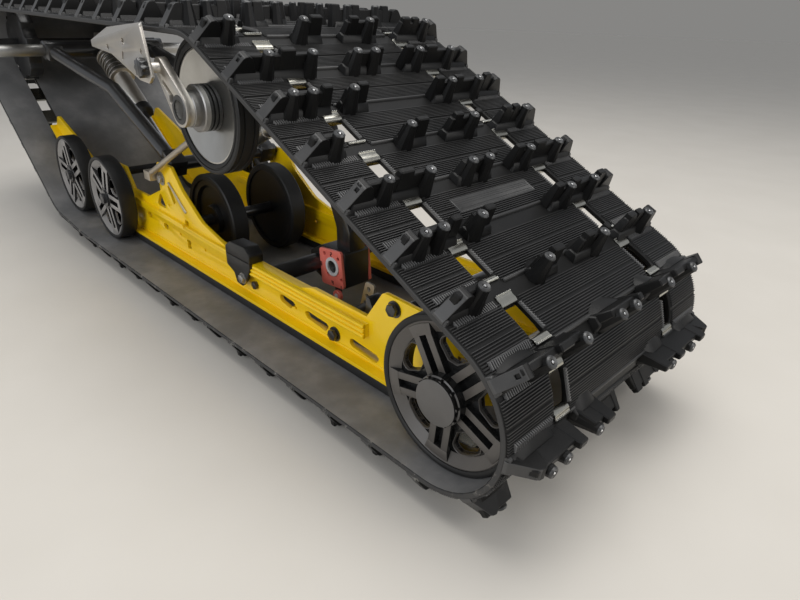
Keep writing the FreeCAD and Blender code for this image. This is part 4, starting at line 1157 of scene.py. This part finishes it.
def make_rear_fittings():
    """Small plate with three holes and a three-cornered bracket, on a spacer inside the left rail."""
    outline = rounded([(-221, 20, 4), (-203, 20, 4), (-214, -24, 4), (-233, -20, 4)], 3)
    holes = [ring_of(place, 3.4, 16) for place in ((-215, 11), (-218, 0), (-222, -11))]
    shown(plate("hole_plate", outline, -81.5, -78.5, 0.4, holes, 1), ALLOY, "steel")
    spacer = smoothed(rod("plate_spacer", at((-219, -15), -80), at((-219, -15), -109), 6.0))
    shown(spacer, DARK_STEEL_AND_SHADE, "black_steel")
    outline = rounded([(-190, 19, 3), (-184, 19, 3), (-170, -8, 3), (-170, -14, 2), (-192, -14, 2)])
    shown(plate("corner_bracket", outline, -90, -109, 1.0), BLACK_COAT, "black_steel")
    shown(bolt("bracket_bolt", (-183, -3), -90, -85, 5.0), STEEL, "steel")


def make_stops():
    """Stop blocks: a humped saddle over the rib and a cheek that hangs down beside it."""
    saddle = rounded([(-494, -7.7, 0), (-426, -7.7, 0), (-424, 6, 5), (-436, 17, 10), (-478, 16, 8),
                      (-494, 6, 6)])
    cheek = rounded([(-494, -4, 0), (-494, -26, 4), (-474, -34, 6), (-468, -49, 5), (-452, -51, 6),
                     (-438, -38, 6), (-426, -14, 4), (-426, -4, 0)])
    pieces = [edged(prism("stop_saddle", saddle, STOP_FACE, SADDLE_INSIDE), 1.2),
              edged(prism("stop_cheek", cheek, STOP_FACE, CHEEK_INSIDE), 1.2)]
    both_sides(smoothed(united(pieces, "stop_block"), 32), BLACK_PLASTIC, "black_plastic", "stop_blocks")


# The link from the upper shaft to the folded bracket, with its collars

LINK_TOP = (-464.0, 268.0)
COLLAR_FACE = 197.7
LINK_FACE = 208.0
BRACKET_FACE = 224.0
# Distances from the middle plane: the pockets' dark floors, which are painted shade, and the middles of the
# cutters.
FLOOR_FROM, FLOOR_TO = 200.0, 202.8
POCKET_CUT, BRACKET_CUT = 206.0, 222.0
POCKET = [(-446, 226, 8), (-432, 226, 8), (-433, 238, 0), (-457, 255, 3), (-461, 250, 3), (-445, 237, 0)]


def make_collars():
    """Collars on the upper shaft: silver outside, then black with two grooves; and the link's bearing."""
    silver_rows = [(15.3, 0), (21, 0), (22, 1), (22, 9.7), (27.5, 9.7), (29, 11), (29, 17), (15.3, 17),
                   (15.3, 0)]
    turned_pair("collar_silver", UPPER, COLLAR_FACE, silver_rows, COLLAR_STEEL, "alloy", "hub_collars")
    black_rows = [(15.3, 17), (29, 17), (29, 20), (27, 20.6), (27, 22.4), (29, 23), (29, 25.5), (27, 26),
                  (27, 28), (29, 28.6), (29, 32.7), (15.3, 32.7), (15.3, 17)]
    turned_pair("collar_black", UPPER, COLLAR_FACE, black_rows, BLACK_PLASTIC, "alloy", "hub_collars")
    bearing_rows = [(12.0, -0.8), (17.0, -0.8), (17.6, -0.2), (17.6, 2), (12.0, 2), (12.0, -0.8)]
    turned_pair("link_bearing", UPPER, LINK_FACE, bearing_rows, DARK_STEEL_AND_SHADE, "steel", segments=48)


def make_link():
    """Links with a teardrop pocket, and brackets with their holes, slot and lobed bolt."""
    tear = rounded(POCKET)
    # Painted shade: a dark steel plate lies at the floor of each teardrop pocket, for the shade in the
    # recess.
    floors = [prism("pocket_shade_floor", tear, side * FLOOR_FROM, side * FLOOR_TO) for side in (-1, 1)]
    shown(united(floors, "link_pocket_painted_shade"), DARK_STEEL_AND_SHADE, "alloy")
    pockets = []
    holes = []
    for side in (-1, 1):
        pockets.append(prism("pocket", tear, side * POCKET_CUT - 4, side * POCKET_CUT + 4))
        for outline in (ring_of((-522, 295), 4.2, 20), slot_of(-528, 281, -531, 274, 2.2)):
            holes.append(prism("hole", outline, side * BRACKET_CUT - 6, side * BRACKET_CUT + 6))
    dressed("rear_links", ALLOY, "alloy", 1.4, cutters=pockets)
    dressed("tunnel_brackets", ALLOY, "alloy", 0.6, cutters=holes)
    head = prism("link_bolt", ring_of(LINK_TOP, 10.6, 64, 0, 1.0, 8), -BRACKET_FACE, -BRACKET_FACE - 9.6)
    both_sides(smoothed(edged(head, 0.8, 2, 50), 40), BLACK_COAT, "black_steel", "link_nuts")
    screw = bolt("bracket_screw", (-475, 275.5), -BRACKET_FACE, -BRACKET_FACE - 3, 4.4)
    both_sides(screw, STEEL, "steel")


# Shock and reservoir

FRONT_SHAFT = (-1226.0, 246.0)
SHOCK_FOOT = (-925.0, 35.0)
RESERVOIR_ANGLE = 25.7
SPRING_RADIUS, SPRING_WIRE = 24.5, 2.5
SPRING_PITCH, SPRING_TURNS = 11.4, 5
SPRING_FROM = 32


def make_shocks():
    """Front shock with its spring and band, and the slim reservoir."""
    dressed("front_shock_body", ALLOY, "alloy", 1.4)
    dressed("front_shock_rod", CHROME, "chrome", 0.8)
    top, foot = at(FRONT_SHAFT), at(SHOCK_FOOT)
    # Rows of turned shapes: radius, distance along.
    band_rows = [(18.6, 196), (20.6, 197), (20.6, 210), (18.6, 213.4)]
    shown(smoothed(lathed("shock_band", band_rows, top, foot), 30), BLACK_PLASTIC, "black_plastic")
    clear()
    bpy.ops.mesh.primitive_circle_add(vertices=10, radius=SPRING_WIRE * MM, rotation=(math.pi / 2, 0, 0),
                                      location=(SPRING_RADIUS * MM, 0, SPRING_WIRE * MM))
    spring = settled(started("spring"))
    modified(spring, "SCREW", axis="Z", angle=math.radians(360), screw_offset=SPRING_PITCH * MM,
             iterations=SPRING_TURNS, steps=28, render_steps=28, use_merge_vertices=False)
    edit(spring)
    bpy.ops.mesh.remove_doubles(threshold=0.00001)
    bpy.ops.mesh.fill_holes(sides=0)
    bpy.ops.mesh.normals_make_consistent(inside=False)
    done()
    along = (foot - top).normalized()
    turn = along.to_track_quat("Z", "Y").to_matrix().to_4x4()
    spring.data.transform(Matrix.Translation(top + along * SPRING_FROM * MM) @ turn)
    shown(smoothed(spring, 50), SPRING_STEEL, "black_steel", "front_spring")
    rows = [(12.4, 24), (13.0, 25), (13.0, 148), (14.4, 149), (14.4, 156), (13.0, 157), (13.0, 198),
            (11.6, 203), (8.0, 206.5)]
    reservoir = lathed("reservoir", rows, at(UPPER), at(UPPER) - unit(RESERVOIR_ANGLE))
    shown(smoothed(reservoir, 30), SILVER_DISC, "alloy", "reservoir")


# The coupling between the rails

# Strokes of plain numbers, on a grid of one by two.
DIGITS = {
    "1": [((0.5, 0), (0.5, 2))],
    "2": [((0, 2), (1, 2)), ((1, 2), (1, 1)), ((1, 1), (0, 1)), ((0, 1), (0, 0)), ((0, 0), (1, 0))],
    "3": [((0, 2), (1, 2)), ((1, 2), (1, 0)), ((0, 1), (1, 1)), ((0, 0), (1, 0))],
    "4": [((0, 2), (0, 1)), ((0, 1), (1, 1)), ((1, 2), (1, 0))],
}
DIGIT_SIZE = 2.8
DIGIT_PLACES = [("2", -360, 2.6), ("3", -385, -20), ("4", -358, -44), ("1", -337, -46)]
COUPLING_BODY = [(-419, -8, 4), (-419, -38, 6), (-388, -50, 6), (-333, -50, 4), (-333, 9.5, 4),
                 (-388, 9.5, 8)]
COUPLING_HALF = 24.0
COUPLING_FACE = 29.0
COUPLING_BORE = (-357, -17)
COUPLING_HOLES = [(-377, -0.7), (-344, -1.2), (-369, -32.7), (-336.5, -33.5)]
ROLLER = (-346, -62)


def make_digit(text, x, z):
    """A plain number from short bars, raised on the plate's face."""
    face = -COUPLING_FACE - 0.2
    bars = []
    for (xa, za), (xb, zb) in DIGITS[text]:
        x0, x1 = sorted((x + (xa - 0.5) * DIGIT_SIZE, x + (xb - 0.5) * DIGIT_SIZE))
        z0, z1 = sorted((z + (za - 1) * DIGIT_SIZE, z + (zb - 1) * DIGIT_SIZE))
        bars.append(block("bar", x0 - 0.4, x1 + 0.4, face - 0.5, face + 0.5, z0 - 0.4, z1 + 0.4))
    return bars


def make_coupling():
    """Black block on the cross tube, with its red plates, white rings, numbers and a roller."""
    body = plate("coupling_body", rounded(COUPLING_BODY), -COUPLING_HALF, COUPLING_HALF, 1.2, angle=30)
    shown(body, BLACK_PLASTIC, "black_plastic", "coupling_block")
    outline = rounded([(-390, 6, 5), (-337, 12, 5), (-331, -48, 5), (-385, -53, 5)])
    holes = [ring_of(place, 3.0, 16) for place in COUPLING_HOLES] + [ring_of(COUPLING_BORE, 10.6, 40)]
    red_plate = plate("coupling_face", outline, -COUPLING_FACE, -COUPLING_HALF, 0.6, holes, angle=30)
    both_sides(red_plate, RED, "red_plate", "coupling_plates")
    ring_rows = [(10.2, -2.0), (14.2, -2.4), (15.2, -1.8), (15.2, 1.0), (10.2, 1.0), (10.2, -2.0)]
    turned_pair("white_ring", COUPLING_BORE, COUPLING_FACE, ring_rows, WHITE_RING, "red_plate", segments=48)
    eye_rows = [(0.6, 4.2), (5.0, 3.8), (6.2, 1.6), (10.4, 0.6), (10.4, 5.2), (0.6, 5.2), (0.6, 4.2)]
    turned_pair("coupling_eye", COUPLING_BORE, COUPLING_FACE, eye_rows, DARK_STEEL_AND_SHADE, "black_plastic",
                segments=32)
    bars = sum([make_digit(*row) for row in DIGIT_PLACES], [])
    shown(united(bars, "coupling_numbers"), BLACK_PLASTIC, "red_plate")
    ear = rounded([(-356, -46, 0), (-342, -46, 0), (-345, -68, 4), (-353, -68, 4)])
    shown(plate("roller_ear", ear, -22, -27, 0.6), BLACK_PLASTIC, "black_plastic")
    roller_rows = [(3.2, -3), (7.8, -3), (8.8, -2.2), (8.8, 3), (3.2, 3), (3.2, -3)]
    roller = turned("roller", roller_rows, ROLLER, COUPLING_FACE, 32)
    shown(smoothed(roller, 30), RED, "red_plate")
    washer = turned("roller_ring", [(1.4, -3.6), (3.9, -3.6), (3.9, 2), (1.4, 2)], ROLLER, COUPLING_FACE, 24)
    shown(smoothed(washer, 30), WHITE_RING, "red_plate")


make_belt()
make_ridges()
make_bar_ribs()
make_lugs()
make_clips()
make_window_strips()
make_plaque()

# Spoked wheels. Columns: name, place, radius, face, plastic, first spoke's angle, hub's radius, node.
SPOKED_WHEELS = [
    ("rear_wheel", REAR, REAR_RADIUS, REAR_FACE, WHEEL_PLASTIC, 121.0, 26.0, "rear_wheels"),
    ("front_bogie", FRONT_BOGIE, BOGIE_RADIUS, BOGIE_FACE, BOGIE_PLASTIC, 98.0, 21.0, "running_wheels"),
    ("rear_bogie", REAR_BOGIE, BOGIE_RADIUS, BOGIE_FACE, BOGIE_PLASTIC, 70.0, 21.0, "running_wheels"),
]
for row in SPOKED_WHEELS:
    make_spoked_wheel(*row)
make_upper_wheels()
make_mid_wheels()
make_caps()

for node, side in (("rail_left", -1), ("rail_right", 1)):
    dressed(node, YELLOW, "rail_paint", cutters=rail_cutters(side))
make_channel()
make_rail_bolts()
make_rear_fittings()
make_collars()
make_link()
make_shocks()
make_coupling()
make_stops()

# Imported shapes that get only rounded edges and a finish. Columns: finish, slot, edge, nodes.
ROUNDED_NODES = [
    (SHOE_PLASTIC, "shoe_plastic", 1.2, ["slide_shoes"]),
    (STEEL, "steel", 0.8, ["rear_axle", "bogie_axles", "upper_shaft", "front_arm_shaft"]),
    (BLACK_COAT, "black_steel", 0.8, ["mid_axle", "shock_cross_shaft", "coupling_tube", "rear_cross_tube",
                                      "drive_axle"]),
    (BLACK_COAT, "black_steel", 1.0, ["front_arm"]),
    (BLACK_COAT, "black_steel", 1.6, ["rear_arm"]),
    (TIE_ALLOY, "alloy", 0.8, ["tie_rods"]),
    (BLACK_PLASTIC, "black_plastic", 1.4, ["drive_sprockets"]),
]
for finish, slot, edge, nodes in ROUNDED_NODES:
    for node in nodes:
        dressed(node, finish, slot, edge)

# Floor, light and camera

clear()
bpy.ops.mesh.primitive_plane_add(size=40, location=(0, 0, 0))
floor = started("floor")
ground = Finish("pale_floor", {"Roughness": 0.85, "Specular IOR Level": 0.2})
ground.colour(ground.mix(ground.noise(6.0, 5.0), (0.56, 0.53, 0.48, 1), (0.62, 0.59, 0.54, 1)))
floor.data.materials.append(ground.material)

# The sky lights the unit, and the camera sees a plain backdrop behind it.
SKY_COLOUR = (0.92, 0.95, 1.0, 1)
SKY_STRENGTH = 0.42
BACKDROP_COLOUR = (0.238, 0.235, 0.228, 1)
world = bpy.data.worlds.new("studio")
bpy.context.scene.world = world
world.use_nodes = True
tree = world.node_tree
sky = tree.nodes["Background"]
sky.inputs["Color"].default_value = SKY_COLOUR
sky.inputs["Strength"].default_value = SKY_STRENGTH
backdrop = tree.nodes.new("ShaderNodeBackground")
backdrop.inputs["Color"].default_value = BACKDROP_COLOUR
seen = tree.nodes.new("ShaderNodeMixShader")
rays = tree.nodes.new("ShaderNodeLightPath")
tree.links.new(rays.outputs["Is Camera Ray"], seen.inputs[0])
tree.links.new(sky.outputs[0], seen.inputs[1])
tree.links.new(backdrop.outputs[0], seen.inputs[2])
tree.links.new(seen.outputs[0], tree.nodes["World Output"].inputs["Surface"])

# Soft square lamps. Columns: name, place, aim, size, power, colour.
LAMPS = [
    ("overhead", (0.3, 0.2, 2.6), (0, 0, 0.3), 2.2, 54, (1.0, 0.98, 0.95)),
    ("left_fill", (0.4, -2.6, 1.2), (0, 0, 0.25), 1.8, 26, (0.95, 0.97, 1.0)),
    ("rear_fill", (2.6, 0.6, 1.4), (0, 0, 0.25), 1.6, 20, (1.0, 0.97, 0.93)),
]
for name, place, aim, size, power, colour in LAMPS:
    clear()
    bpy.ops.object.light_add(type="AREA", location=place)
    light = bpy.context.object
    light.name = name
    light.data.size = size
    light.data.energy = power
    light.data.color = colour
    light.rotation_euler = (Vector(aim) - Vector(place)).to_track_quat("-Z", "Y").to_euler()

CAMERA_PLACE = (0.98985, -0.53456, 0.45778)
CAMERA_HEADING, CAMERA_DOWN, CAMERA_ROLL = 0.7807, 0.46042, 0.02562
clear()
bpy.ops.object.camera_add(location=CAMERA_PLACE)
camera = bpy.context.object
heading = Matrix.Rotation(CAMERA_HEADING, 4, "Z")
tilt = Matrix.Rotation(math.pi / 2 - CAMERA_DOWN, 4, "X")
camera.rotation_euler = (heading @ tilt @ Matrix.Rotation(CAMERA_ROLL, 4, "Z")).to_euler()
camera.data.sensor_width = 36.0
camera.data.lens = 25.88
camera.data.clip_start = 0.01
bpy.context.scene.camera = camera
bpy.context.scene.view_settings.view_transform = "Standard"
